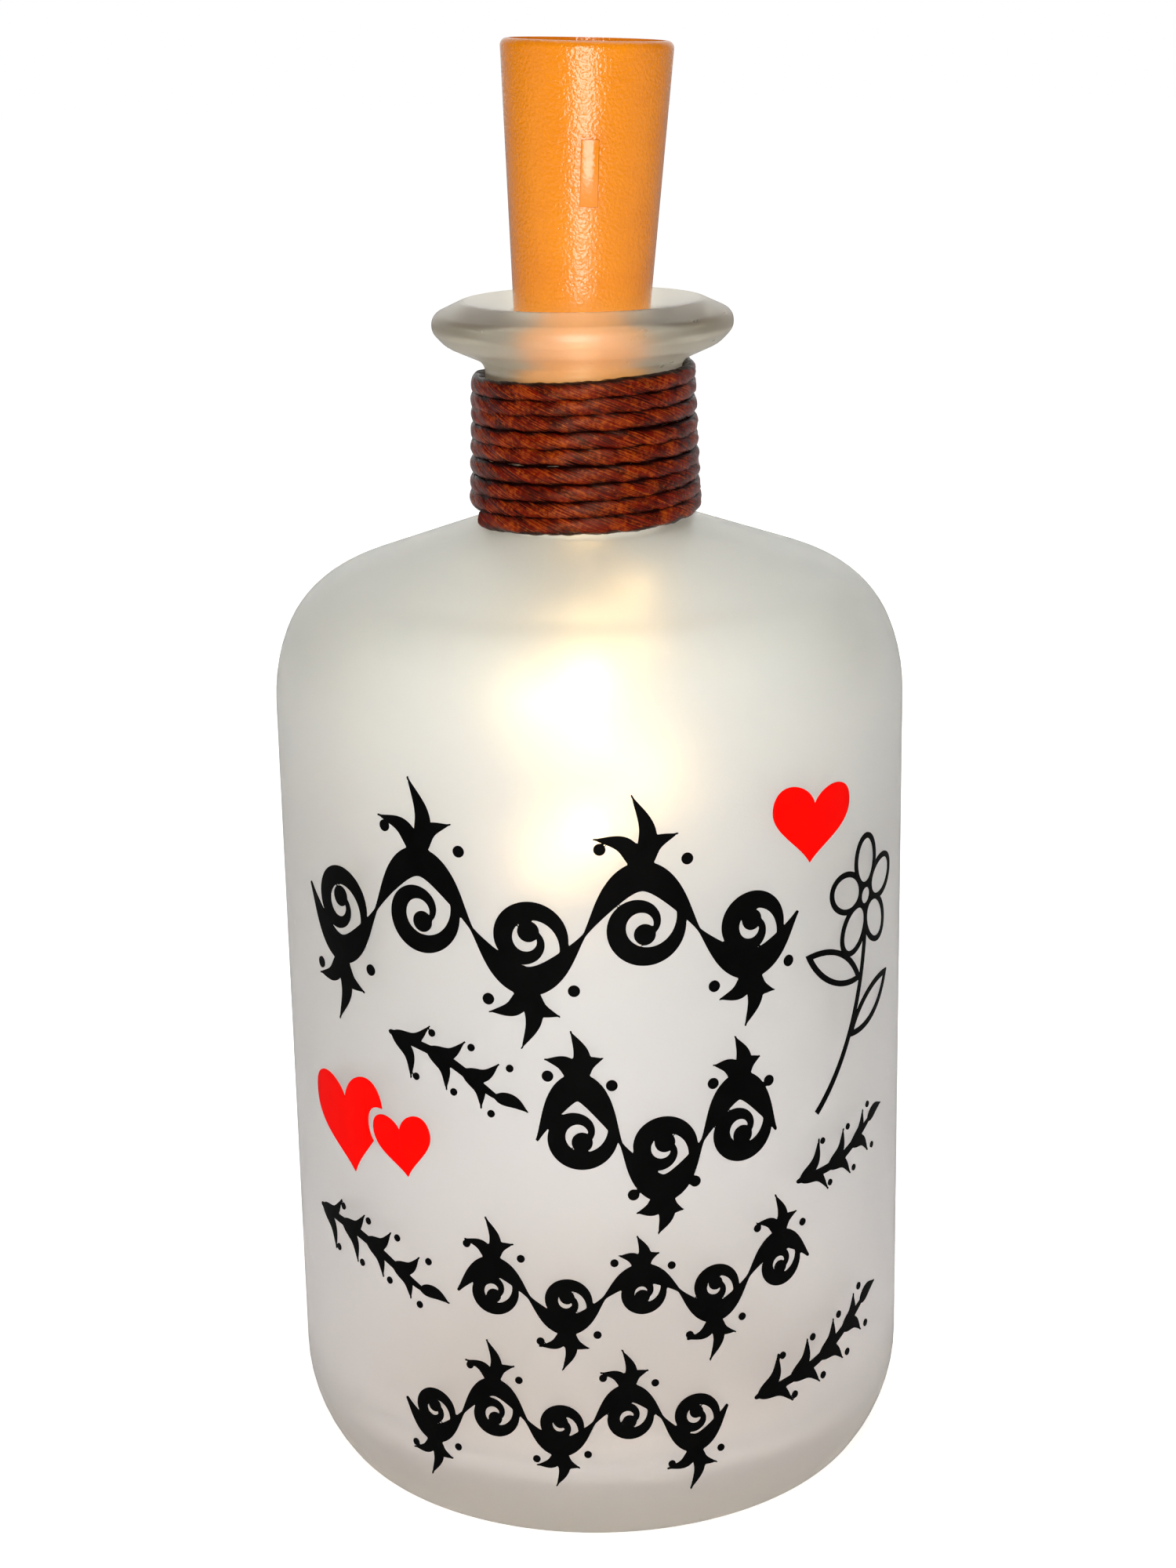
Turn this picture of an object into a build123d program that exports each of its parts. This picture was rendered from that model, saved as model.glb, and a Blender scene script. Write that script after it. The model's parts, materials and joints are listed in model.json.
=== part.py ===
from build123d import *

import math
import os

import numpy as np

# A frosted apothecary bottle with a cord wound round its neck and a battery light in its mouth.
# Millimetres, +Z up, origin in the middle of the foot. The printed front faces -Y.

# Bottle: outside
body_diameter = 82.0
foot_inset = 5.0
foot_bend = 4.5
heel_height = 7.3
heel_bend = 20.0
shoulder_low_height = 109.2
shoulder_low_bend = 23.4
shoulder_rise = 9.9
shoulder_high_inset = 4.0
shoulder_high_bend = 13.4
neck_root_rise = 8.4
neck_base_diameter = 26.4
neck_base_bend = 2.6
neck_top_diameter = 25.0
neck_length = 19.8

# Bottle: lip
lip_under_bend = 1.2
lip_diameter = 38.5
lip_flare = 3.9
lip_edge = 2.7
lip_edge_bend = 1.35
lip_crest_rise = 1.5
lip_crest_inset = 4.0
lip_crest_bend = 1.6
lip_dish = 1.5
mouth_bend = 0.8

# Bottle: inside
glass_wall = 3.0
neck_bore_flare = 0.2
neck_bore_bend = 3.0
base_thickness = 5.4
base_crown = 2.2
base_crown_inset = 20.0
base_crown_bend = 24.0
inner_heel_bend = 9.0
punt_height = 3.2
punt_inset = 8.4
punt_bend = 16.0
foot_ring_width = 5.6
foot_ring_bend = 1.2

# Cord wound round the neck
cord_diameter = 1.6
cord_pitch = 2.09
cord_clearance = 0.15
cord_start_rise = 1.0
cord_end_room = 0.83
cord_start_angle = 205.0
# How far each turn wanders from its even height, one share for each half turn.
cord_wander = 0.03
cord_wander_shares = (
    (0, 1, -0.6, 0.4, -1, 0.7, 0, -0.8, 1, -0.3)
    + (0.5, -1, 0.8, 0, -0.5, 0.9, -0.7, 0.3, 0, 0)
)

# Vinyl film on the body: hearts and a line-drawn flower
film_thickness = 0.12
film_gap = 0.03
upper_heart_width = 13.4
upper_heart_height = 9.9
upper_heart_angle = 41.1
upper_heart_drop = 14.4
upper_heart_tilt = -7.0
large_heart_width = 14.6
large_heart_height = 13.2
large_heart_angle = -50.6
large_heart_drop = 54.6
large_heart_tilt = 10.0
small_heart_width = 9.1
small_heart_height = 8.2
small_heart_aside = 9.7
small_heart_below = 2.2
small_heart_tilt = 1.0
heart_halo = 0.9
heart_top_shares = ((0, 0.24), (0.08, 0.52), (0.50, 0.62), (0.50, 0.20))
heart_side_shares = ((0.50, 0.20), (0.50, -0.10), (0.14, -0.26), (0, -0.50))
flower_angle = 56.7
flower_drop = 26.6
flower_stroke = 0.75
petal_count = 5
petal_length = 7.2
petal_width = 5.6
flower_eye_diameter = 3.6
stem_length = 24.8
stem_reach = 10.2
stem_bow_share = 0.12
leaf_length = 12.5
leaf_width = 4.4
leaf_stem_shares = (0.34, 0.62)
leaf_angles = (152.0, 28.0)

# Stopper light: the shell, in its own frame with zero at the lip's crest
cork_length = 48.0
cork_depth = 16.3
cork_top_diameter = 21.7
cork_bottom_diameter = 15.4
cork_lean = 2.2
cork_clearance = 0.15
cork_top_bend = 0.9
cork_bottom_bend = 0.6
cork_floor = 1.4
rim_recess = 1.0
rim_wall = 1.1
bar_width = 2.2
bar_height = 8.1
bar_proud = 0.35
bar_level = 16.1
bar_angle = 3.2
key_width = 2.0
key_depth = 0.9

# Battery cradle
cell_diameter = 11.6
cell_height = 5.4
cell_count = 3
cell_crimp = 0.5
cell_boss_diameter = 8.6
cell_boss_height = 0.25
cell_slack = 0.15
cradle_wall = 0.65
cradle_slack = 0.15
cap_thickness = 1.6
cap_slack = 0.15
cradle_shelf = 1.0
cradle_end_wall = 1.2
cradle_mouth_share = 0.97
push_slot_width = 3.0
nail_notch_width = 6.0
nail_notch_depth = 1.1

# Contacts, board and spring
plate_thickness = 0.3
plate_diameter = 9.2
button_diameter = 4.2
button_proud = 1.5
button_slack = 0.4
strip_width = 1.5
strip_thickness = 0.4
strip_slack = 0.15
board_thickness = 1.0
board_slack = 0.15
board_ledge = 0.85
spring_wire_diameter = 0.5
spring_base_diameter = 6.8
spring_top_diameter = 3.8
spring_turns = 3.0
spring_height = 3.3
spring_gap = 0.15
resistor_length = 2.0
resistor_width = 1.25
resistor_height = 0.5

# Slide switch
switch_length = 8.6
switch_width = 4.2
switch_height = 3.5
switch_roof = 0.5
switch_travel = 2.0
slider_length = 3.6
slider_width = 2.4
slider_height = 1.2
slider_slack = 0.1
stem_section = 1.6
thumb_length = 2.6
thumb_width = 3.6
thumb_height = 0.6
thumb_lift = 0.15
thumb_ridge = 0.3
terminal_width = 0.6
terminal_thickness = 0.3
terminal_length = 2.2
terminal_spacing = 2.5
terminal_count = 3

# Light string
wire_diameter = 0.8
wire_sides = 8
wire_slack = 0.06
gland_hole_diameter = 3.2
gland_flange_diameter = 4.8
gland_flange = 0.8
gland_nose = 2.0
gland_nose_diameter = 2.6
gland_slack = 0.05
lead_straight = 3.0
coil_diameter = 13.8
coil_height = 54.0
coil_rise = 0.5
coil_offset = -0.3
# The coil's radius, one share for each turn, and how far it drops in each turn against the others.
coil_radius_shares = (
    (0.1, 0.62, 0.86, 0.97, 0.84, 1, 0.92)
    + (0.8, 0.96, 1, 0.86, 0.98, 0.9, 0.99)
    + (0.93, 0.82, 0.92, 0.84, 0.7, 0.6, 0.42)
)
coil_drop_shares = (
    (3.2, 1.5, 1.1, 0.9, 1.05, 0.95, 1)
    + (0.9, 1.05, 0.95, 1, 0.9, 1.05, 0.9)
    + (1, 1.1, 0.95, 1.1, 1, 1.2, 1.3)
)
bead_count = 8
bead_length = 4.2
bead_diameter = 2.5
first_bead_quarter = 7
seal_length = 3.0
seal_diameter = 1.7

# Shared
overrun = 1.0
turn_step_share = 1e-4
quarter_share = 0.25
bend_share = 0.45
gap_samples = 48

body_radius = body_diameter / 2
foot_radius = body_radius - foot_inset
shoulder_high_height = shoulder_low_height + shoulder_rise
neck_base_height = shoulder_high_height + neck_root_rise
lip_under_height = neck_base_height + neck_length
lip_edge_low = lip_under_height + lip_flare
lip_edge_high = lip_edge_low + lip_edge
lip_crest_height = lip_edge_high + lip_crest_rise
neck_radius = neck_base_diameter / 2
cord_turns = (neck_length - cord_start_rise - cord_end_room) / cord_pitch
cord_radius = cord_diameter / 2
wire_radius = wire_diameter / 2
cell_radius = cell_diameter / 2
pocket_radius = cell_radius + cell_slack
cradle_radius = pocket_radius + cradle_wall
bay_radius = cradle_radius + cradle_slack
cavity_radius = bay_radius - board_ledge
cork_bottom = -cork_depth
cork_top = cork_length - cork_depth
cork_taper = (cork_top_diameter - cork_bottom_diameter) / 2 / cork_length
rim_radius = cork_top_diameter / 2 - rim_wall
cap_radius = rim_radius - cap_slack
cap_top = cork_top - rim_recess
cap_seat = cap_top - cap_thickness
switch_bottom = cap_seat - switch_height
shelf_top = switch_bottom - terminal_length - cradle_shelf
shelf_bottom = shelf_top - cradle_shelf
cell_top = shelf_bottom - plate_thickness
cell_bottom = cell_top - cell_count * cell_height
end_wall_top = cell_bottom - plate_thickness
cradle_bottom = end_wall_top - cradle_end_wall
button_bottom = end_wall_top - button_proud
board_top = button_bottom - spring_gap - spring_height
board_bottom = board_top - board_thickness
floor_top = cork_bottom + cork_floor
coil_top = neck_base_height + coil_rise
coil_turns = len(coil_radius_shares) - 1
bead_quarters = (4 * coil_turns - first_bead_quarter) // bead_count


def cork_radius(level):
    """Outside radius of the stopper at a level of its own frame."""
    return cork_bottom_diameter / 2 + (level - cork_bottom) * cork_taper


bore_radius = cork_radius(0) + cork_clearance
in_cork = Location((0, 0, lip_crest_height), (0, cork_lean, 0))


def turned(corners, bends):
    """A solid turned about Z from (radius, height) corners, each rounded by its own bend."""
    outline = FilletPolyline(*corners, radius=bends, close=True)
    return revolve(Plane.XZ * make_face(outline), Axis.Z)


def block(low, high):
    """A box from its lowest to its highest corner."""
    middle = [(a + b) / 2 for a, b in zip(low, high)]
    return Pos(*middle) * Box(*[b - a for a, b in zip(low, high)])


def disc(radius, low, high):
    """A cylinder about Z between two heights."""
    return Pos(0, 0, (low + high) / 2) * Cylinder(radius, high - low)


def toward(start, end):
    """Unit direction between two (radius, height) points."""
    return (Vector(*end) - Vector(*start)).normalized()


def inner_corner(before, corner, after, wall):
    """The corner of a parallel outline that lies a wall's thickness inside a convex corner."""
    first, second = toward(before, corner), toward(corner, after)
    turn = math.radians(first.get_angle(second))
    inward = (second - first).normalized()
    place = Vector(*corner) + inward * (wall / math.cos(turn / 2))
    return place.X, place.Y


# Corners of the bottle's outline that its inside and the neck cord follow too.
foot_corner = (foot_radius, 0)
heel_corner = (body_radius, heel_height)
low_corner = (body_radius, shoulder_low_height)
high_corner = (body_radius - shoulder_high_inset, shoulder_high_height)
neck_corner = (neck_radius, neck_base_height)
lip_corner = (neck_top_diameter / 2, lip_under_height)


def glass_bottle():
    """The blown bottle: heel, straight wall, two-bend shoulder, tapered neck and flared lip."""
    lip_radius = lip_diameter / 2
    ring_inside = foot_radius - foot_ring_width
    base_top = punt_height + base_thickness
    inside_low = inner_corner(heel_corner, low_corner, high_corner, glass_wall)
    inside_high = inner_corner(low_corner, high_corner, neck_corner, glass_wall)
    slope = toward(high_corner, neck_corner)
    bore_base = bore_radius + neck_bore_flare
    bore_height = inside_high[1] + (inside_high[0] - bore_base) * slope.Y / -slope.X
    inside_wall = body_radius - glass_wall
    outline = (
        ((0, punt_height), 0),
        ((ring_inside - punt_inset, punt_height), punt_bend),
        ((ring_inside, 0), foot_ring_bend),
        (foot_corner, foot_bend),
        (heel_corner, heel_bend),
        (low_corner, shoulder_low_bend),
        (high_corner, shoulder_high_bend),
        (neck_corner, neck_base_bend),
        (lip_corner, lip_under_bend),
        ((lip_radius, lip_edge_low), lip_edge_bend),
        ((lip_radius, lip_edge_high), lip_edge_bend),
        ((lip_radius - lip_crest_inset, lip_crest_height), lip_crest_bend),
        ((bore_radius, lip_crest_height - lip_dish), mouth_bend),
        ((bore_base, bore_height), neck_bore_bend),
        (inside_high, shoulder_high_bend - glass_wall),
        (inside_low, shoulder_low_bend - glass_wall),
        ((inside_wall, base_top - base_crown), inner_heel_bend),
        ((inside_wall - base_crown_inset, base_top), base_crown_bend),
        ((0, base_top), 0),
    )
    return turned([corner for corner, bend in outline], [bend for corner, bend in outline])


def biarc(start, start_way, end, end_way):
    """Two arcs that leave the start and reach the end along the given directions."""
    chord, ways = end - start, start_way + end_way
    square, along = 2 * (1 - start_way.dot(end_way)), chord.dot(ways)
    reach = (math.sqrt(along**2 + square * chord.dot(chord)) - along) / square
    first_hand, second_hand = start + start_way * reach, end - end_way * reach
    middle = (first_hand + second_hand) / 2
    return [
        TangentArc(start, middle, tangent=start_way),
        TangentArc(middle, end, tangent=second_hand - first_hand),
    ]


def heading(curve, turn):
    """Direction of a curve at a turn count."""
    return (curve(turn + turn_step_share) - curve(turn - turn_step_share)).normalized()


def wound_path(curve, turns, end_run):
    """Biarcs of a quarter turn along a curve, with a straight run at each end."""
    count = round(turns / quarter_share)
    stations = [turns * i / count for i in range(count + 1)]
    places = [curve(turn) for turn in stations]
    ways = [heading(curve, turn) for turn in stations]
    edges = [Line(places[0] - ways[0] * end_run, places[0])]
    for i in range(count):
        edges += biarc(places[i], ways[i], places[i + 1], ways[i + 1])
    edges.append(Line(places[-1], places[-1] + ways[-1] * end_run))
    return edges


def tube(edges, section):
    """A section swept along edges that join smoothly."""
    path = Wire([edge.edge() for edge in edges])
    start = Plane(origin=path @ 0, z_dir=path % 0)
    return sweep(start * section, path=path, clean=False)


def least_gap(curve, turns, thickness):
    """Smallest distance between the surfaces of two turns of a wound tube."""
    count = int(turns * gap_samples)
    points = np.array([tuple(curve(turns * i / count)) for i in range(count + 1)])
    apart = np.linalg.norm(points[:, None] - points[None, :], axis=2)
    order = np.arange(count + 1)
    others = np.abs(order[:, None] - order[None, :]) > gap_samples / 2
    return apart[others].min() - thickness


def eased(values, at):
    """A value between those of a table, with level ends at each entry."""
    low = min(int(at), len(values) - 2)
    share = (1 - math.cos(math.pi * (at - low))) / 2
    return values[low] + (values[low + 1] - values[low]) * share


def neck_cord_radius(height):
    """How far the cord's middle stays from the axis so that it clears the glass."""
    stand = cord_radius + cord_clearance
    up, down = toward(neck_corner, lip_corner), toward(neck_corner, high_corner)
    half = math.radians(up.get_angle(down)) / 2
    centre = Vector(*neck_corner) + (up + down).normalized() * (neck_base_bend / math.sin(half))
    along_neck = neck_radius + (height - neck_base_height) * up.X / up.Y + stand / up.Y
    if height >= centre.Y:
        return along_neck
    arc = neck_base_bend - stand
    reach = arc**2 - (centre.Y - height) ** 2
    return max(along_neck, centre.X - math.sqrt(max(reach, 0)))


def neck_cord_point(turn):
    """Middle of the neck cord after a number of turns."""
    wander = cord_wander * cord_pitch * eased(cord_wander_shares, 2 * min(max(turn, 0), cord_turns))
    height = neck_base_height + cord_start_rise + cord_pitch * turn + wander
    angle = math.radians(cord_start_angle) + turn * math.tau
    radius = neck_cord_radius(height)
    return Vector(radius * math.cos(angle), radius * math.sin(angle), height)


def neck_cord():
    """One length of cord, wound round the neck as a right-handed helix."""
    edges = wound_path(neck_cord_point, cord_turns, cord_diameter)
    solid = tube(edges, Circle(cord_radius))
    report_tube("neck cord", edges, solid, math.pi * cord_radius**2)
    print("neck cord least gap", round(least_gap(neck_cord_point, cord_turns, cord_diameter), 3))
    return solid


def report_tube(name, edges, solid, section_area):
    """Print a tube's length and compare its volume with its section times its length."""
    length = sum(edge.length for edge in edges)
    print(name, "length", round(length, 1), "volume share", round(solid.volume / length / section_area, 4))


def film(face, angle, drop, tilt):
    """A flat face made a thin film on the body, turned from the front line and below the shoulder."""
    inside = body_radius + film_gap
    level = shoulder_low_height - drop
    skin = disc(inside + film_thickness, 0, lip_crest_height) - disc(inside, 0, lip_crest_height)
    front = Plane(origin=(0, -inside - overrun, level), x_dir=(1, 0, 0), z_dir=(0, -1, 0))
    cut = extrude(front * Rot(0, 0, tilt) * face, amount=-body_radius / 2)
    return Rot(0, 0, angle) * (cut & skin)


def heart_face(width, height):
    """A heart: two curves for one side, and their mirror."""
    top = [(x * width, y * height) for x, y in heart_top_shares]
    side = [(x * width, y * height) for x, y in heart_side_shares]
    half = Bezier(*top) + Bezier(*side)
    return make_face(half + mirror(half, Plane.YZ))


def flower_face():
    """A flower drawn in one stroke width: petals round an eye, a bowed stem and two leaves."""
    petal = Ellipse(petal_length / 2, petal_width / 2)
    petal -= Ellipse(petal_length / 2 - flower_stroke, petal_width / 2 - flower_stroke)
    eye_radius = flower_eye_diameter / 2
    reach = eye_radius + petal_length / 2 - flower_stroke
    face = Circle(eye_radius) - Circle(eye_radius - flower_stroke)
    for i in range(petal_count):
        face += Rot(0, 0, 90 + i * 360 / petal_count) * Pos(reach, 0) * petal
    top = Vector(0, flower_stroke / 2 - eye_radius)
    foot = top + Vector(-stem_reach, -stem_length)
    bow = (top + foot) / 2 + Vector(stem_length * stem_bow_share, 0)
    stem = ThreePointArc(top, bow, foot)
    face += trace(stem, flower_stroke)
    for share, turn in zip(leaf_stem_shares, leaf_angles):
        face += Pos(stem @ share) * Rot(0, 0, turn) * leaf_face()
    return face


def leaf_face():
    """A pointed leaf drawn as an outline, with its root at zero and its tip along X."""
    tip, crown = (leaf_length, 0), (leaf_length / 2, leaf_width / 2)
    edge = ThreePointArc((0, 0), crown, tip)
    leaf = make_face(edge + mirror(edge, Plane.XZ))
    return leaf - offset(leaf, amount=-flower_stroke)


def cork_shell():
    """The tapered hollow stopper, with a deep battery bay, a board ledge and a raised bar."""
    hole = gland_hole_diameter / 2
    outline = (
        ((hole, cork_bottom), 0),
        ((cork_bottom_diameter / 2, cork_bottom), cork_bottom_bend),
        ((cork_top_diameter / 2, cork_top), cork_top_bend),
        ((rim_radius, cork_top), 0),
        ((rim_radius, cap_seat), 0),
        ((bay_radius, cap_seat), 0),
        ((bay_radius, board_bottom), 0),
        ((cavity_radius, board_bottom), 0),
        ((cavity_radius, floor_top), 0),
        ((hole, floor_top), 0),
    )
    shell = turned([corner for corner, bend in outline], [bend for corner, bend in outline])
    key_side = key_width / 2
    key = block((-key_side, rim_radius - key_depth, cap_seat), (key_side, rim_radius + rim_wall / 2, cap_top))
    return shell + key + raised_bar()


def raised_bar():
    """The plain bar that stands proud of the stopper's front."""
    low, high = bar_level - bar_height / 2, bar_level + bar_height / 2
    inside = cork_radius(low) - rim_wall / 2
    skin = turned(
        [
            (inside, low),
            (cork_radius(low) + bar_proud, low),
            (cork_radius(high) + bar_proud, high),
            (inside, high),
        ],
        [0] * 4,
    )
    window = block((-bar_width / 2, -cork_top_diameter, low), (bar_width / 2, 0, high))
    return Rot(0, 0, bar_angle) * (skin & window)


def wire_gland():
    """The soft bush in the stopper's floor that the wire comes out of."""
    bore = wire_radius + wire_slack
    stem = gland_hole_diameter / 2 - gland_slack
    flange = gland_flange_diameter / 2
    corners = [
        (bore, cork_bottom - gland_nose),
        (gland_nose_diameter / 2, cork_bottom - gland_nose),
        (flange, cork_bottom),
        (stem, cork_bottom),
        (stem, floor_top),
        (flange, floor_top),
        (flange, floor_top + gland_flange),
        (bore, floor_top + gland_flange),
    ]
    return turned(corners, [0] * len(corners))


def contact_board():
    """The round board on the ledge below the battery bay."""
    return disc(bay_radius - board_slack, board_bottom, board_top)


def spring_point(turn):
    """Middle of the conical spring's wire after a number of turns."""
    share = turn / spring_turns
    radius = (spring_base_diameter + (spring_top_diameter - spring_base_diameter) * share) / 2
    rise = spring_height - spring_wire_diameter
    height = board_top + spring_wire_diameter / 2 + rise * share
    angle = turn * math.tau
    return Vector(radius * math.cos(angle), radius * math.sin(angle), height)


def contact_spring():
    """The conical spring that presses on the cradle's lower contact."""
    edges = wound_path(spring_point, spring_turns, spring_wire_diameter)
    section = RegularPolygon(spring_wire_diameter / 2, wire_sides)
    print("spring least gap", round(least_gap(spring_point, spring_turns, spring_wire_diameter), 2))
    return tube(edges, section)


def series_resistor():
    """The chip resistor beside the spring."""
    outer = bay_radius - board_slack - strip_width / 2
    return block(
        (-outer, -resistor_length / 2, board_top),
        (resistor_width - outer, resistor_length / 2, board_top + resistor_height),
    )


def cradle_frame():
    """The cap and the half-open tube under it that carries the cells."""
    cap = disc(cap_radius, cap_seat, cap_top) - nail_notch() - key_notch()
    sleeve = disc(cradle_radius, cradle_bottom, cap_seat)
    sleeve -= disc(pocket_radius, shelf_top, cap_seat)
    sleeve -= disc(pocket_radius, end_wall_top, shelf_bottom)
    half_mouth = math.asin(cradle_mouth_share * cell_radius / pocket_radius)
    sleeve -= block(
        (-cradle_radius, -cradle_radius, end_wall_top),
        (cradle_radius, -pocket_radius * math.cos(half_mouth), shelf_bottom),
    )
    sleeve -= push_slot() + strip_slot()
    sleeve -= disc(button_diameter / 2 + button_slack, cradle_bottom - overrun, end_wall_top + overrun)
    tab_room = terminal_width + 2 * strip_slack
    sleeve -= block((-tab_room, -tab_room, shelf_bottom - overrun), (tab_room, tab_room, shelf_top + overrun))
    return cap + sleeve - knob_slot(cap_top)


def nail_notch():
    """The shallow notch in the cap's edge that a fingernail lifts."""
    half = nail_notch_width / 2
    return block(
        (-half, -cap_radius - overrun, cap_top - cap_thickness / 2),
        (half, nail_notch_depth - cap_radius, cap_top + overrun),
    )


def key_notch():
    """The notch in the cap's edge that takes the shell's key."""
    half = key_width / 2 + cap_slack
    return block(
        (-half, rim_radius - key_depth - cap_slack, cap_seat - overrun),
        (half, rim_radius + overrun, cap_top + overrun),
    )


def push_slot():
    """The round-ended slot in the cradle's back through which the cells are pushed out."""
    length = shelf_bottom - end_wall_top - push_slot_width
    middle = (shelf_bottom + end_wall_top) / 2
    outline = Rot(0, 0, 90) * SlotOverall(length, push_slot_width)
    back = Plane(origin=(0, 0, middle), x_dir=(1, 0, 0), z_dir=(0, 1, 0))
    return extrude(back * outline, amount=cradle_radius + overrun)


def strip_slot():
    """The channel in the cradle's side that holds the conductor strip."""
    half = strip_width / 2 + strip_slack
    return block(
        (pocket_radius - strip_thickness, -half, cradle_bottom - overrun),
        (cradle_radius + overrun, half, switch_bottom),
    )


def knob_slot(top):
    """The way that the switch's stem travels in, up to a level."""
    half = stem_section / 2 + slider_slack
    return block(
        (-half - switch_travel / 2, -half, cap_seat - overrun),
        (half + switch_travel / 2, half, top + overrun),
    )


def coin_cell(index):
    """One button cell: a can with a raised, narrower face below."""
    low = cell_bottom + index * cell_height
    high = low + cell_height
    corners = [
        (0, low),
        (cell_boss_diameter / 2, low),
        (cell_boss_diameter / 2, low + cell_boss_height),
        (cell_radius, low + cell_boss_height),
        (cell_radius, high),
        (0, high),
    ]
    return turned(corners, [0, 0, 0, cell_crimp, cell_crimp, 0])


def top_contact():
    """The plate above the cells, with a tab that reaches the switch's middle terminal."""
    plate = disc(plate_diameter / 2, cell_top, shelf_bottom)
    tab = block(
        (-terminal_width, terminal_thickness / 2, cell_top + plate_thickness / 2),
        (terminal_width, terminal_thickness / 2 + plate_thickness, switch_bottom - terminal_length / 2),
    )
    return plate + tab


def bottom_contact():
    """The plate below the cells, with the button that the spring presses."""
    plate = disc(plate_diameter / 2, end_wall_top, cell_bottom)
    radius = button_diameter / 2
    button = turned(
        [(0, button_bottom), (radius, button_bottom), (radius, end_wall_top), (0, end_wall_top)],
        [0, button_proud / 2, 0, 0],
    )
    return plate + button


def conductor_strip():
    """The bent strip that runs down the cradle's side from the switch to the board's leaf."""
    half = strip_width / 2
    inside = pocket_radius
    outside = inside + strip_thickness
    head_level = switch_bottom - terminal_length / 2
    head_inside = terminal_spacing + terminal_width / 2
    head_top = head_level + strip_thickness
    foot = cradle_bottom - strip_thickness
    strip = block((inside, -half, foot), (outside, half, head_top))
    strip += block((head_inside, -half, head_level), (outside, half, head_top))
    strip += block((inside - strip_width, -half, foot), (outside, half, cradle_bottom))
    return strip


def side_leaf():
    """The folded leaf on the board that touches the conductor strip."""
    half = plate_thickness / 2
    outer = pocket_radius - half
    reach = strip_width
    top = cradle_bottom - strip_thickness - spring_gap
    middle = (board_top + top) / 2
    path = Polyline(
        (outer - reach, board_top + half),
        (outer, board_top + half),
        (outer - reach / 2, middle),
        (outer, top - half),
        (outer - reach, top - half),
    )
    profile = Plane.XZ * trace(path, plate_thickness)
    return Pos(0, strip_width / 2, 0) * extrude(profile, amount=strip_width)


def switch_housing():
    """The slide switch's case under the cap, hollow where its slider runs."""
    reach, width = switch_length / 2, switch_width / 2
    case = block((-reach, -width, switch_bottom), (reach, width, cap_seat))
    half = (slider_length + switch_travel) / 2 + slider_slack
    side = slider_width / 2 + slider_slack
    top = cap_seat - switch_roof
    case -= block((-half, -side, top - slider_height - 2 * slider_slack), (half, side, top))
    return case - knob_slot(cap_top)


def switch_terminals():
    """The three pins below the switch's case."""
    pins = []
    for i in range(terminal_count):
        middle = (i - (terminal_count - 1) / 2) * terminal_spacing
        pins.append(
            block(
                (middle - terminal_width / 2, -terminal_thickness / 2, switch_bottom - terminal_length),
                (middle + terminal_width / 2, terminal_thickness / 2, switch_bottom),
            )
        )
    return Compound(children=pins)


def switch_slider():
    """The slider, its stem and its ridged thumb piece, at the lit end of its travel."""
    middle = switch_travel / 2
    top = cap_seat - switch_roof - slider_slack
    half = stem_section / 2
    thumb_low = cap_top + thumb_lift
    thumb_high = thumb_low + thumb_height
    slider = block(
        (middle - slider_length / 2, -slider_width / 2, top - slider_height),
        (middle + slider_length / 2, slider_width / 2, top),
    )
    stem_high = thumb_high - thumb_ridge
    slider += block((middle - half, -half, top - slider_height), (middle + half, half, stem_high))
    thumb = block(
        (middle - thumb_length / 2, -thumb_width / 2, thumb_low),
        (middle + thumb_length / 2, thumb_width / 2, thumb_high),
    )
    for i in (-1, 0, 1):
        groove = middle + (i + 1 / 2) * thumb_length / 3
        thumb -= block(
            (groove - thumb_ridge / 2, -thumb_width, thumb_high - thumb_ridge),
            (groove + thumb_ridge / 2, thumb_width, thumb_high + overrun),
        )
    return slider + thumb


def drop_before(turn):
    """How far the coil has dropped before a whole turn, in shares."""
    return sum((coil_drop_shares[i] + coil_drop_shares[i + 1]) / 2 for i in range(turn))


def coil_point(turn):
    """Middle of the hanging wire after a number of turns, counted from the top of the coil."""
    at = min(max(turn, 0), coil_turns)
    low = min(int(at), coil_turns - 1)
    here, after = coil_drop_shares[low], coil_drop_shares[low + 1]
    part = at - low
    dropped = drop_before(low) + here * part + (after - here) * part**2 / 2
    dropped += min(turn, 0) * coil_drop_shares[0] + max(turn - coil_turns, 0) * coil_drop_shares[coil_turns]
    whole = drop_before(coil_turns)
    radius = coil_diameter / 2 * eased(coil_radius_shares, at)
    angle = -turn * math.tau
    height = coil_top - coil_height * dropped / whole
    return Vector(coil_offset + radius * math.cos(angle), radius * math.sin(angle), height)


def wire_section():
    """The wire's section, faceted to keep the long coil light."""
    return RegularPolygon(wire_radius, wire_sides)


def coil_edges():
    """The coil's path."""
    return wound_path(coil_point, coil_turns, wire_diameter)


def led_coil(edges):
    """The wire from the top of the coil to its sealed end, as one tube."""
    solid = tube(edges, wire_section())
    area = wire_section().area
    report_tube("light coil", edges, solid, area)
    print("light coil least gap", round(least_gap(coil_point, coil_turns, wire_diameter), 2))
    return solid


def lead_points(end, way):
    """Corners of the wire between the board and the coil."""
    board = in_cork * Pos(0, 0, board_bottom)
    below = in_cork * Pos(0, 0, cork_bottom - gland_nose - lead_straight)
    return [board.position, below.position, end - way * lead_straight, end]


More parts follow.
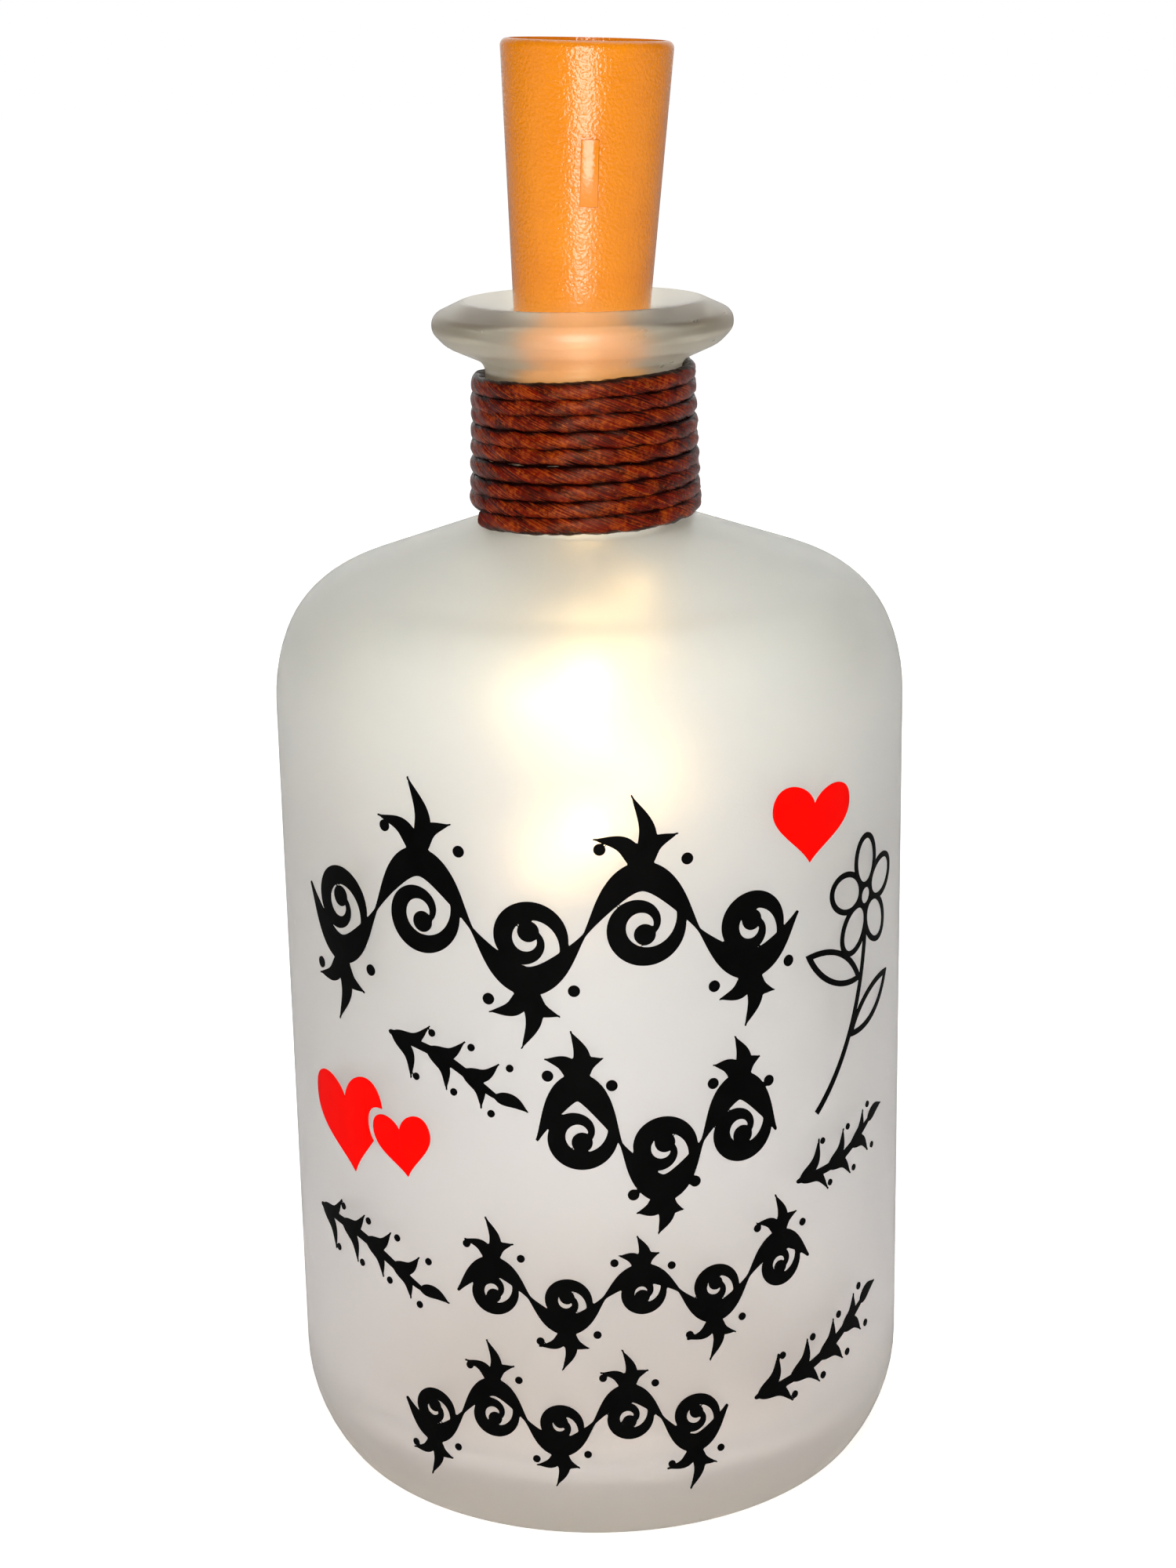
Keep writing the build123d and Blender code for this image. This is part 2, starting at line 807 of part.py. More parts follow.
def led_lead(edges):
    """The straight part of the wire, from the board through the gland to the coil."""
    end = edges[0] @ 0
    way = edges[0] % 0
    points = lead_points(end, way)
    radii = []
    for i in (1, 2):
        before, after = points[i] - points[i - 1], points[i + 1] - points[i]
        half = math.radians(before.get_angle(after)) / 2
        radii.append(bend_share * min(before.length, after.length) / math.tan(half))
    print("lead radii", [round(radius, 1) for radius in radii])
    path = FilletPolyline(*points, radius=radii)
    solid = tube(path.edges(), wire_section())
    report_tube("lead", path.edges(), solid, wire_section().area)
    return solid


def led_bead(edges, index):
    """One resin drop round the wire, bored along the wire's own arcs."""
    quarter = first_bead_quarter + index * bead_quarters
    turn = quarter * quarter_share
    place = Plane(origin=coil_point(turn), z_dir=heading(coil_point, turn))
    drop = scale(Sphere(bead_diameter / 2), by=(1, 1, bead_length / bead_diameter))
    # The first edge is the straight run and each quarter turn has two arcs.
    near = edges[1 + 2 * (quarter - 1) : 1 + 2 * (quarter + 1)]
    return place * drop - tube(near, Circle(wire_radius + wire_slack))


def wire_end_seal(edges):
    """The sleeve that seals the wire's end."""
    place = Plane(origin=edges[-1] @ 1, z_dir=edges[-1] % 1)
    radius = seal_diameter / 2
    sleeve = turned(
        [(0, 0), (radius, 0), (radius, seal_length), (0, seal_length)],
        [0, 0, radius / 2, 0],
    )
    return place * sleeve


def film_nodes():
    """The pieces of vinyl film on the bottle."""
    upper = heart_face(upper_heart_width, upper_heart_height)
    small = heart_face(small_heart_width, small_heart_height)
    small = Pos(small_heart_aside, -small_heart_below) * Rot(0, 0, small_heart_tilt) * small
    halo = heart_face(small_heart_width + 2 * heart_halo, small_heart_height + 2 * heart_halo)
    halo = Pos(small_heart_aside, -small_heart_below) * Rot(0, 0, small_heart_tilt) * halo
    large = heart_face(large_heart_width, large_heart_height) - halo
    return {
        "heart_film_upper": film(upper, upper_heart_angle, upper_heart_drop, upper_heart_tilt),
        "heart_film_large": film(large, large_heart_angle, large_heart_drop, large_heart_tilt),
        "heart_film_small": film(small, large_heart_angle, large_heart_drop, large_heart_tilt),
        "flower_film": film(flower_face(), flower_angle, flower_drop, 0),
    }


def stopper_nodes():
    """Everything that is built in the leaning stopper's own frame."""
    nodes = {
        "cork_shell": cork_shell(),
        "wire_gland": wire_gland(),
        "contact_board": contact_board(),
        "contact_spring": contact_spring(),
        "side_leaf": side_leaf(),
        "series_resistor": series_resistor(),
        "cradle_frame": cradle_frame(),
        "top_contact": top_contact(),
        "bottom_contact": bottom_contact(),
        "conductor_strip": conductor_strip(),
        "switch_housing": switch_housing(),
        "switch_terminals": switch_terminals(),
        "switch_slider": switch_slider(),
    }
    for i in range(cell_count):
        nodes[f"coin_cell_{i + 1}"] = coin_cell(i)
    return {name: in_cork * solid for name, solid in nodes.items()}


def string_nodes():
    """The wire that hangs from the stopper, and what is on it."""
    edges = coil_edges()
    nodes = {"led_lead": led_lead(edges), "led_coil": led_coil(edges), "wire_end_seal": wire_end_seal(edges)}
    for i in range(bead_count):
        nodes[f"led_bead_{i + 1}"] = led_bead(edges, i)
    return nodes


def main():
    nodes = {"glass_bottle": glass_bottle(), "neck_cord": neck_cord()}
    nodes.update(film_nodes())
    nodes.update(stopper_nodes())
    nodes.update(string_nodes())
    os.makedirs("parts", exist_ok=True)
    for name, solid in nodes.items():
        export_step(solid, f"parts/{name}.step")
    print(len(nodes), "nodes")


main()
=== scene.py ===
# %% [markdown]
# # A frosted bottle with a light in its cork
# The object is a blown glass bottle with a satin frost on it. A waxed cord is wound round its
# neck, and a moulded stopper in its mouth holds three button cells. A thin wire with eight
# small lights hangs from the stopper, so the glass glows from inside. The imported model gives
# every place and size, and the cells below dress it: first the camera and the wire, then the
# light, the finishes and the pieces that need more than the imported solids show.

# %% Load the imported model
import cmath
import json
import math

import bmesh
import bpy
import numpy as np
from mathutils import Matrix, Vector

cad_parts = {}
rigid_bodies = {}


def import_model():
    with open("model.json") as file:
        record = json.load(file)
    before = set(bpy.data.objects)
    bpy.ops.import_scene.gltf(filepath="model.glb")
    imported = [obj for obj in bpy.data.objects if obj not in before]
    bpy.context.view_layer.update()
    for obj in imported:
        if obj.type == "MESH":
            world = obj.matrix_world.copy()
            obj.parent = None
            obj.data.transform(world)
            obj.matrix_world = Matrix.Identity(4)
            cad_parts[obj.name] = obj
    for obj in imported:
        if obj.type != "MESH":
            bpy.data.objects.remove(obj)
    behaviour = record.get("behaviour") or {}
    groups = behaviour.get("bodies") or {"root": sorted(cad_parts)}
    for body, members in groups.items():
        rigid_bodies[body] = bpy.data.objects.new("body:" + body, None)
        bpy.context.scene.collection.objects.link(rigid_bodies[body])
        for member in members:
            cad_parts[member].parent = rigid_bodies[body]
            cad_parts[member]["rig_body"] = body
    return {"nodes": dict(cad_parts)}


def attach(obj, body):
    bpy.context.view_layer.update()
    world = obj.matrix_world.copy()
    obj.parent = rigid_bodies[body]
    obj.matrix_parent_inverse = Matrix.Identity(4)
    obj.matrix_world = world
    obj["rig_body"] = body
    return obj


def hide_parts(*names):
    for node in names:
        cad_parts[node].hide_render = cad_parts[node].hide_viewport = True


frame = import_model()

MM = 0.001
scene = bpy.context.scene
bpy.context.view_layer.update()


def linked(name, data):
    """A new object in the scene."""
    obj = bpy.data.objects.new(name, data)
    scene.collection.objects.link(obj)
    return obj


# %% [markdown]
# The photograph was taken from a little above with a long lens. Its place was worked out from
# the bottle's own outline: the foot's lowest point, the widest part of the lip and the two
# straight sides fix the distance, the height and the tilt. A camera could also be aimed with a
# Track To constraint, but a matrix keeps the small roll that the photograph has.

# %% Camera
CAMERA_BACK, CAMERA_UP = 0.35782, 0.19495
CAMERA_PITCH, CAMERA_PAN, CAMERA_ROLL = (math.radians(a) for a in (16.153, -0.065, -1.077))
FOCAL_PIXELS, FRAME_HEIGHT, SENSOR, NEAR = 3573.33, 2000, 36, 0.01

flat = math.cos(CAMERA_PITCH)
forward = (math.sin(CAMERA_PAN) * flat, math.cos(CAMERA_PAN) * flat, -math.sin(CAMERA_PITCH))
forward = Vector(forward)
level = Vector((math.cos(CAMERA_PAN), -math.sin(CAMERA_PAN), 0))
across = math.cos(CAMERA_ROLL) * level + math.sin(CAMERA_ROLL) * level.cross(forward)
camera_data = bpy.data.cameras.new("photo_camera")
camera_data.sensor_width = SENSOR
camera_data.lens = FOCAL_PIXELS * SENSOR / FRAME_HEIGHT
camera_data.clip_start = NEAR
camera = linked("photo_camera", camera_data)
camera.matrix_world = Matrix.Translation((0, -CAMERA_BACK, CAMERA_UP)) @ (
    Matrix((across, across.cross(forward), -forward)).transposed().to_4x4()
)
scene.camera = camera
print("lens", round(camera_data.lens, 2), "mm")

# %% [markdown]
# A node tree can be built in a few lines when a socket behaves like a number. The small class
# below lets the cells write sums such as `1 - mask * 0.3`, and each sign adds its Math node.
# Every other node comes from one method, which takes the node's type, its settings and what
# goes into its sockets. The same two classes serve materials and Geometry Nodes.

# %% Sockets as numbers


class Value:
    """A socket that can be used in sums."""

    def __init__(self, graph, socket):
        self.graph, self.socket = graph, socket

    def sum_of(self, operation, *terms):
        return self.graph.add("ShaderNodeMath", {"operation": operation}, dict(enumerate(terms)))

    def beside(self, output):
        """Another output of the same node."""
        return Value(self.graph, self.socket.node.outputs[output])

    def __add__(self, other):
        return self.sum_of("ADD", self, other)

    def __sub__(self, other):
        return self.sum_of("SUBTRACT", self, other)

    def __rsub__(self, other):
        return self.sum_of("SUBTRACT", other, self)

    def __mul__(self, other):
        return self.sum_of("MULTIPLY", self, other)

    def __truediv__(self, other):
        return self.sum_of("DIVIDE", self, other)

    def __pow__(self, other):
        return self.sum_of("POWER", self, other)

    __radd__, __rmul__ = __add__, __mul__


class Graph:
    """A node tree with one way to add a node."""

    def __init__(self, tree):
        self.tree, self.shader = tree, None

    def add(self, kind, settings=None, inputs=None, output=0):
        node = self.tree.nodes.new(kind)
        for name, value in (settings or {}).items():
            if name == "stops":
                self.set_stops(node.color_ramp, value)
            else:
                setattr(node, name, value)
        for key, value in (inputs or {}).items():
            self.put(node, key, value)
        return node if output is None else Value(self, self.find(node.outputs, output))

    @staticmethod
    def find(sockets, key):
        if isinstance(key, int):
            return sockets[key]
        named = [s for s in sockets if key in (s.identifier, s.name)]
        return next((s for s in named if s.enabled), named[0])

    def put(self, node, key, value):
        socket = self.find(node.inputs, key)
        if isinstance(value, Value):
            self.tree.links.new(value.socket, socket)
        else:
            socket.default_value = value

    def feed(self, key, value):
        """Set a socket of the material's own shader."""
        self.put(self.shader, key, value)

    def noise(self, vector, detail, **more):
        """Noise from 0 to 1, with features about one unit of the vector apart."""
        terms = {"Vector": vector, "Scale": 1.0, "Detail": detail, **more}
        return self.add("ShaderNodeTexNoise", {}, terms)

    @staticmethod
    def set_stops(ramp, stops):
        while len(ramp.elements) < len(stops):
            ramp.elements.new(0.5)
        for element, (place, colour) in zip(ramp.elements, stops):
            element.position, element.color = place, colour


def fresh_graph(owner):
    """The emptied node tree of a material or a world."""
    owner.use_nodes = True
    owner.node_tree.nodes.clear()
    return Graph(owner.node_tree)


# %% [markdown]
# The light string is a thin twisted pair of lacquered wires that hangs in loose turns under
# the stopper. Its route is one smooth spline through points of a rule, the same rule that the
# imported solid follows: how wide and how far apart the turns lie comes from two short tables.

# %% The light string's route
COIL_RADIUS, COIL_HEIGHT, COIL_TOP, COIL_ASIDE = 6.9, 54.0, 128.0, -0.3
COIL_WIDTHS = (0.1, 0.62, 0.86, 0.97, 0.84, 1, 0.92, 0.8, 0.96, 1, 0.86)
COIL_WIDTHS += (0.98, 0.9, 0.99, 0.93, 0.82, 0.92, 0.84, 0.7, 0.6, 0.42)
COIL_DROPS = (3.2, 1.5, 1.1, 0.9, 1.05, 0.95, 1, 0.9, 1.05, 0.95, 1)
COIL_DROPS += (0.9, 1.05, 0.9, 1, 1.1, 0.95, 1.1, 1, 1.2, 1.3)
POINTS_A_TURN = 16
STRING_START = ((-0.05, 0, 154.05), (-0.82, 0, 134.12), (0.39, 1.5, 131.3))
STRING_END = (2.598, -0.788, 73.86)


def eased(values, at):
    """A value between those of a table, level at each entry."""
    low = min(int(at), len(values) - 2)
    share = (1 - math.cos(math.pi * (at - low))) / 2
    return values[low] + (values[low + 1] - values[low]) * share


def dropped(turn):
    """How far the coil has come down after some turns, in shares."""
    low = min(int(turn), len(COIL_DROPS) - 2)
    whole = sum((COIL_DROPS[i] + COIL_DROPS[i + 1]) / 2 for i in range(low))
    here, after = COIL_DROPS[low], COIL_DROPS[low + 1]
    return whole + here * (turn - low) + (after - here) * (turn - low) ** 2 / 2


def coil_point(turn):
    """Middle of the wire after some turns, in metres."""
    height = COIL_TOP - COIL_HEIGHT * dropped(turn) / dropped(len(COIL_DROPS) - 1)
    radius, angle = COIL_RADIUS * eased(COIL_WIDTHS, turn), -turn * math.tau
    place = (COIL_ASIDE + radius * math.cos(angle), radius * math.sin(angle), height)
    return Vector(place) * MM


turns = len(COIL_DROPS) - 1
string_points = [Vector(point) * MM for point in STRING_START]
string_points += [coil_point(i / POINTS_A_TURN) for i in range(turns * POINTS_A_TURN + 1)]
string_points.append(Vector(STRING_END) * MM)
print(len(string_points), "points on the string's route")

# %% [markdown]
# A spline object and a swept section could make the wire, but a twisted pair is two strands
# that turn round each other, and the neck's cord is three. Geometry Nodes make both with one
# tree: circles set round a centre are the section, the curve's tilt twists it, and Curve to
# Mesh sweeps it. The tree also writes two attributes, how far along and how far round each
# point lies, so that a finish can follow the strands. Noise makes the strands ragged, and a
# last step presses the cord flat against what it is wound on.

# %% Twisted strands with Geometry Nodes
STRAND_INPUTS = {"Strands": "Int", "Sides": "Int", "Material": "Material"}
for label in ("Strand Radius", "Strand Offset", "Twist Length", "Squeeze", "Step", "Ragged"):
    STRAND_INPUTS[label] = "Float"


def new_tree(name, inputs):
    """A Geometry Nodes tree with named inputs, and a Value for each."""
    tree = bpy.data.node_groups.new(name, "GeometryNodeTree")
    for label, kind in ({"Geometry": "Geometry"} | inputs).items():
        tree.interface.new_socket(label, in_out="INPUT", socket_type="NodeSocket" + kind)
    tree.interface.new_socket("Geometry", in_out="OUTPUT", socket_type="NodeSocketGeometry")
    graph = Graph(tree)
    entry = tree.nodes.new("NodeGroupInput")
    values = {s.name: Value(graph, s) for s in entry.outputs if s.name}
    return graph, values


def end_tree(graph, geometry, material):
    """Realize Instances and Set Material, then the output."""
    real = graph.add("GeometryNodeRealizeInstances", {}, {"Geometry": geometry})
    dressed = graph.add("GeometryNodeSetMaterial", {}, {"Geometry": real, "Material": material})
    graph.add("NodeGroupOutput", {}, {"Geometry": dressed}, None)


def note(graph, geometry, name, value):
    """Store a number on the points of a geometry."""
    return graph.add(
        "GeometryNodeStoreNamedAttribute",
        {"data_type": "FLOAT", "domain": "POINT"},
        {"Geometry": geometry, "Name": name, "Value": value},
    )


RAGGED_LENGTH, RAGGED_ACROSS = 2.4 * MM, 1.6


def strand_tree():
    """Strands that turn round each other along a curve."""
    graph, given = new_tree("Twisted strands", STRAND_INPUTS)
    add = graph.add
    length = add("GeometryNodeSplineParameter", output="Length")
    place = add("GeometryNodeInputPosition")
    apart = add("ShaderNodeSeparateXYZ", {}, {0: place})
    across_x, across_y = apart, apart.beside(1)
    core = (across_x * across_x + across_y * across_y) ** 0.5
    path = {"Curve": given["Geometry"], "Length": given["Step"]}
    path = add("GeometryNodeResampleCurve", {"mode": "LENGTH"}, path)
    path = note(graph, path, "along", length)
    path = note(graph, path, "core", core)
    path = add("GeometryNodeSetCurveNormal", {"mode": "Z_UP"}, {"Curve": path})
    tilt = length / given["Twist Length"] * math.tau
    path = add("GeometryNodeSetCurveTilt", {}, {"Curve": path, "Tilt": tilt})
    angle = add("GeometryNodeInputIndex") * math.tau / given["Strands"]
    cosine, sine = angle.sum_of("COSINE", angle), angle.sum_of("SINE", angle)
    centre = {0: cosine * given["Strand Offset"], 1: sine * given["Strand Offset"]}
    centre = add("ShaderNodeCombineXYZ", {}, centre)
    ring = add("GeometryNodePoints", {}, {"Count": given["Strands"], "Position": centre})
    circle = {"Resolution": given["Sides"], "Radius": given["Strand Radius"]}
    circle = add("GeometryNodeCurvePrimitiveCircle", {}, circle)
    circle = note(graph, circle, "side", across_x / given["Strand Radius"])
    circle = note(graph, circle, "crown", across_y / given["Strand Radius"])
    section = add("GeometryNodeInstanceOnPoints", {}, {"Points": ring, "Instance": circle})
    section = add("GeometryNodeRealizeInstances", {}, {"Geometry": section})
    swept = {"Curve": path, "Profile Curve": section, "Fill Caps": True}
    swept = add("GeometryNodeCurveToMesh", {}, swept)
    core, along, side, crown = (
        add("GeometryNodeInputNamedAttribute", {"data_type": "FLOAT"}, {"Name": name})
        for name in ("core", "along", "side", "crown")
    )
    lie = {0: along / RAGGED_LENGTH, 1: side * RAGGED_ACROSS, 2: crown * RAGGED_ACROSS}
    lie = add("ShaderNodeCombineXYZ", {}, lie)
    wild = graph.noise(lie, 3.0) - 0.5
    outward = {0: add("GeometryNodeInputNormal"), "Scale": wild * given["Ragged"]}
    outward = add("ShaderNodeVectorMath", {"operation": "SCALE"}, outward)
    swept = add("GeometryNodeSetPosition", {}, {"Geometry": swept, "Offset": outward})
    reach = (across_x * across_x + across_y * across_y) ** 0.5
    thickness = given["Strand Radius"] + given["Strand Offset"]
    swept = note(graph, swept, "proud", (reach - core) / thickness)
    pressed = (core + (reach - core) * given["Squeeze"]) / reach
    moved = {0: across_x * pressed, 1: across_y * pressed, 2: apart.beside(2)}
    moved = add("ShaderNodeCombineXYZ", {}, moved)
    shaped = add("GeometryNodeSetPosition", {}, {"Geometry": swept, "Position": moved})
    end_tree(graph, add("GeometryNodeSetShadeSmooth", {}, {0: shaped}), given["Material"])
    return graph.tree


STRAND_TREE = strand_tree()
print("strand tree:", len(STRAND_TREE.nodes), "nodes")

# %% [markdown]
# A tree becomes a plain mesh in three steps: a modifier whose inputs are set by their
# identifiers, a mesh made from the evaluated object, and the modifier's removal. The export
# then has nothing left to work out.

# %% From a route to a mesh


def spline_object(name, points):
    """A NURBS curve of order 3 that reaches both of its ends."""
    data = bpy.data.curves.new(name, "CURVE")
    data.dimensions, data.resolution_u = "3D", 4
    spline = data.splines.new("NURBS")
    spline.points.add(len(points) - 1)
    for point, place in zip(spline.points, points):
        point.co = (*place, 1)
    spline.order_u, spline.use_endpoint_u = 3, True
    return linked(name, data)


def baked(obj):
    """The evaluated mesh of an object."""
    depsgraph = bpy.context.evaluated_depsgraph_get()
    return bpy.data.meshes.new_from_object(obj.evaluated_get(depsgraph))


def grown(obj, tree, values, name):
    """A plain mesh object that a tree made from another object, which is removed."""
    modifier = obj.modifiers.new(tree.name, "NODES")
    modifier.node_group = tree
    for item in tree.interface.items_tree:
        if item.in_out == "INPUT" and item.name in values:
            modifier[item.identifier] = values[item.name]
    bpy.context.view_layer.update()
    mesh = baked(obj)
    bpy.data.objects.remove(obj)
    print(name, len(mesh.polygons), "faces")
    return linked(name, mesh)


def route_of(obj):
    """The points of a curve's own smooth line."""
    return [vertex.co.copy() for vertex in baked(obj).vertices]


# %% [markdown]
# A pale floor and a plain white surround keep the eye on the glass. The floor's own colour is
# near white, and what the camera sees of it is lifted, less so near the bottle, so that only a
# soft shadow round the foot stays. The world does the same: rays from the camera, from gloss
# and through the glass find white, and the light that falls on surfaces is weaker, so that
# colours look as written. For glass and gloss the surround is darker to the left and right, as
# two black flags would make it, and that draws the edges of the bottle. What gloss mirrors from
# the floor, the sides and behind the camera is dim, like a room there, so that red, orange and
# black keep their colour.

# %% Floor and surround
FLOOR_RADIUS, FLOOR_STEPS, FLOOR_TONE = 4.0, 64, (0.9, 0.9, 0.9, 1)
FLOOR_LIFT, SHADOW_LIFT, SHADOW_NEAR, SHADOW_FAR = 0.82, 0.56, 0.05, 0.16
SURROUND_LIGHT, SIDE_SHADE, ROOM_SHADE, ROOM_FROM, ROOM_TO = 0.3, 0.92, 0.9, 0.98, 0.4


def rays(graph, *kinds):
    """1 or 0 for each of some kinds of ray."""
    return [graph.add("ShaderNodeLightPath", output=f"Is {kind} Ray") for kind in kinds]


def seen_rays(graph):
    """1 for rays from the camera, from gloss and through glass."""
    direct, glossy, passed = rays(graph, "Camera", "Glossy", "Transmission")
    return direct.sum_of("MINIMUM", direct + glossy + passed, 1)


def mirror_rays(graph):
    """1 for rays mirrored by a surface, and 0 for those that came through rough glass."""
    glossy, passed = rays(graph, "Glossy", "Transmission")
    return glossy * (1 - passed)


floor_mesh = bpy.data.meshes.new("floor")
shell = bmesh.new()
bmesh.ops.create_circle(shell, cap_ends=True, segments=FLOOR_STEPS, radius=FLOOR_RADIUS)
shell.to_mesh(floor_mesh)
shell.free()
floor = linked("floor", floor_mesh)
floor_material = bpy.data.materials.new("pale_floor")
graph = fresh_graph(floor_material)
paper = graph.add("ShaderNodeBsdfDiffuse", {}, {"Color": FLOOR_TONE})
ground = graph.add("ShaderNodeTexCoord", output="Object")
away = graph.add("ShaderNodeVectorMath", {"operation": "LENGTH"}, {0: ground}, "Value")
lift = {"Value": away, "From Min": SHADOW_NEAR, "From Max": SHADOW_FAR}
lift |= {"To Min": SHADOW_LIFT, "To Max": FLOOR_LIFT}
lift = graph.add("ShaderNodeMapRange", {}, lift)
lit = seen_rays(graph) * lift * (1 - mirror_rays(graph) * ROOM_SHADE)
glow = graph.add("ShaderNodeEmission", {}, {"Strength": lit})
both = graph.add("ShaderNodeAddShader", {}, {0: paper, 1: glow})
graph.add("ShaderNodeOutputMaterial", {}, {"Surface": both}, None)
floor_mesh.materials.append(floor_material)

scene.world = bpy.data.worlds.new("surround")
graph = fresh_graph(scene.world)
seen, (direct, mirrored) = seen_rays(graph), rays(graph, "Camera", "Glossy")
direction = graph.add("ShaderNodeTexCoord", output="Object")
sideways = graph.add("ShaderNodeSeparateXYZ", {}, {0: direction})
room = {"Value": sideways.beside(1), "From Min": ROOM_FROM, "From Max": ROOM_TO}
room = mirrored * graph.add("ShaderNodeMapRange", {}, room)
white = (1 - (1 - direct) * sideways * sideways * SIDE_SHADE) * (1 - room * ROOM_SHADE)
light = {"Color": (1, 1, 1, 1), "Strength": seen * white + (1 - seen) * SURROUND_LIGHT}
surround = graph.add("ShaderNodeBackground", {}, light)
graph.add("ShaderNodeOutputWorld", {}, {"Surface": surround}, None)
scene.view_settings.view_transform = "Standard"

# %% [markdown]
# Four soft lamps stand round the bottle. The photograph shows an upright band of light down the
# middle of the stopper. Its sides taper downwards, so they mirror what is low in front, and a
# tall lamp behind the camera, down to the floor, makes that band and the glints on the cord. The
# others round the glass off and brighten the shoulder and the floor.

# %% Lamps
LAMP_TARGET = Vector((0, 0, 0.1))


def soft_lamp(name, place, size, power, colour=(1, 1, 1)):
    """An area lamp that looks at the middle of the bottle."""
    data = bpy.data.lights.new(name, "AREA")
    data.shape, data.size, data.size_y, data.energy = "RECTANGLE", *size, power
    data.color = colour
    lamp = linked(name, data)
    lamp.location = place
    lamp.rotation_euler = (LAMP_TARGET - lamp.location).to_track_quat("-Z", "Y").to_euler()
    print(name, power, "W")


soft_lamp("front_lamp", (-0.03, -0.62, 0.23), (0.28, 0.5), 3.6, (1, 0.98, 0.93))
soft_lamp("left_lamp", (-0.75, -0.25, 0.35), (0.5, 0.7), 0.25)
soft_lamp("right_lamp", (0.75, -0.15, 0.3), (0.5, 0.7), 0.2)
soft_lamp("top_lamp", (0.1, 0.25, 0.9), (0.8, 0.8), 1.7)

# %% [markdown]
# Each finish is a Principled shader with a few nodes of its own. A helper makes the material,
# keeps it under its name, sets the numbers that are the same all over, and gives back the
# graph. Patterns use Object coordinates in metres, so their scale is that of the real grain,
# fibre or scratch.

# %% Finish helpers
LOOKS = {}


def finish(name, **constants):
    """The graph of a new material with one Principled shader."""
    LOOKS[name] = bpy.data.materials.new(name)
    graph = fresh_graph(LOOKS[name])
    shader = graph.add("ShaderNodeBsdfPrincipled")
    graph.add("ShaderNodeOutputMaterial", {}, {"Surface": shader}, None)
    graph.shader = shader.socket.node
    for key, value in constants.items():
        graph.feed(key.replace("_", " "), value)
    return graph


def spots(graph, size, detail=2.0, stretch=(1, 1, 1)):
    """Noise with a feature size in metres, from 0 to 1."""
    vector = graph.add("ShaderNodeTexCoord", output="Object")
    scale = tuple(1 / (size * s) for s in stretch)
    vector = graph.add("ShaderNodeMapping", {}, {"Vector": vector, "Scale": scale})
    return graph.noise(vector, detail)


def between(graph, value, low, high):
    """0 below low and 1 above high, smooth between them."""
    terms = {"Value": value, "From Min": low, "From Max": high}
    return graph.add("ShaderNodeMapRange", {"interpolation_type": "SMOOTHSTEP"}, terms)


def blend(graph, first, second, share):
    """A colour between two colours."""
    terms = {"Factor_Float": share, "A_Color": first, "B_Color": second}
    return graph.add("ShaderNodeMix", {"data_type": "RGBA"}, terms, "Result_Color")


def bumped(graph, height, depth):
    """Feed a bump of a real depth in metres to the shader."""
    terms = {"Height": height, "Distance": depth, "Strength": 1.0}
    graph.feed("Normal", graph.add("ShaderNodeBump", {}, terms))


def coordinate(graph, axis):
    """Object X, Y or Z in metres."""
    vector = graph.add("ShaderNodeTexCoord", output="Object")
    return graph.add("ShaderNodeSeparateXYZ", {}, {0: vector}, axis)


def grey(level):
    """An even colour, from black at 0 to white at 1."""
    return (level, level, level, 1)


# %% [markdown]
# Satin glass is clear glass with a rough skin, sprayed or etched. A rough transmission gives
# both its soft grey and the way it spreads the lights inside into one warm glow, seen from any
# side. The tint follows the height. The lip is a thick grey green. The body carries painted
# light and shade: a pale shoulder, a darker middle, a warmer grey lower down, a bright band above
# the foot and a darker heel, where the thick base adds real tint too. The lip was hardly sprayed,
# so it is less rough than the body. Its front and back get a pale warm tint, a painted glow, so
# that the stopper's orange and its lit foot show bright there. Faint rubs and the fine grain of
# the frost lie over it all.

# %% Frosted glass
# Painted light and shade: below the lip, these tints make the body paler or darker as the light
# falls on it. The darker heel is partly the thick glass.
GLASS_TINTS_AND_SHADING = (
    (0.0, (0.84, 0.79, 0.72)), (0.046, (0.91, 0.86, 0.81)), (0.072, (1.0, 0.96, 0.95)),
    (0.3, (0.86, 0.85, 0.845)), (0.55, (0.8, 0.8, 0.795)), (0.8, (0.955, 0.98, 0.95)),
    (0.94, (0.76, 0.72, 0.6)), (0.97, (0.62, 0.56, 0.45)), (0.985, (0.56, 0.52, 0.42)),
    (1.0, (0.7, 0.68, 0.62)),
)
PATCH_SIZE, TINT_WANDER, FROST_WANDER = 0.02, 0.012, 0.06
LIP_GLOW_TINT, LIP_GLOW_ASIDE, LIP_GLOW_HEIGHT = (1.0, 0.97, 0.8, 1), (0.004, 0.0115), (0.14, 0.148)
BOTTLE_HEIGHT, BODY_FROST, LIP_FROST, FROST_CHANGE = 0.1554, 0.41, 0.32, (0.122, 0.134)
RUB_SIZE, RUB_SHARE, RUB_GLOSS = 0.004, (0.68, 0.74), 0.05
FROST_GRAIN, FROST_DEPTH = 0.0003, 0.00001
graph = finish("frosted_glass", Transmission_Weight=0.88, IOR=1.46)
height, patches = coordinate(graph, "Z"), spots(graph, PATCH_SIZE)
stops = [(place, (*colour, 1)) for place, colour in GLASS_TINTS_AND_SHADING]
place = height / BOTTLE_HEIGHT + (patches - 0.5) * TINT_WANDER
tint_and_shading = graph.add("ShaderNodeValToRGB", {"stops": stops}, {"Fac": place}, "Color")
aside = coordinate(graph, "X")
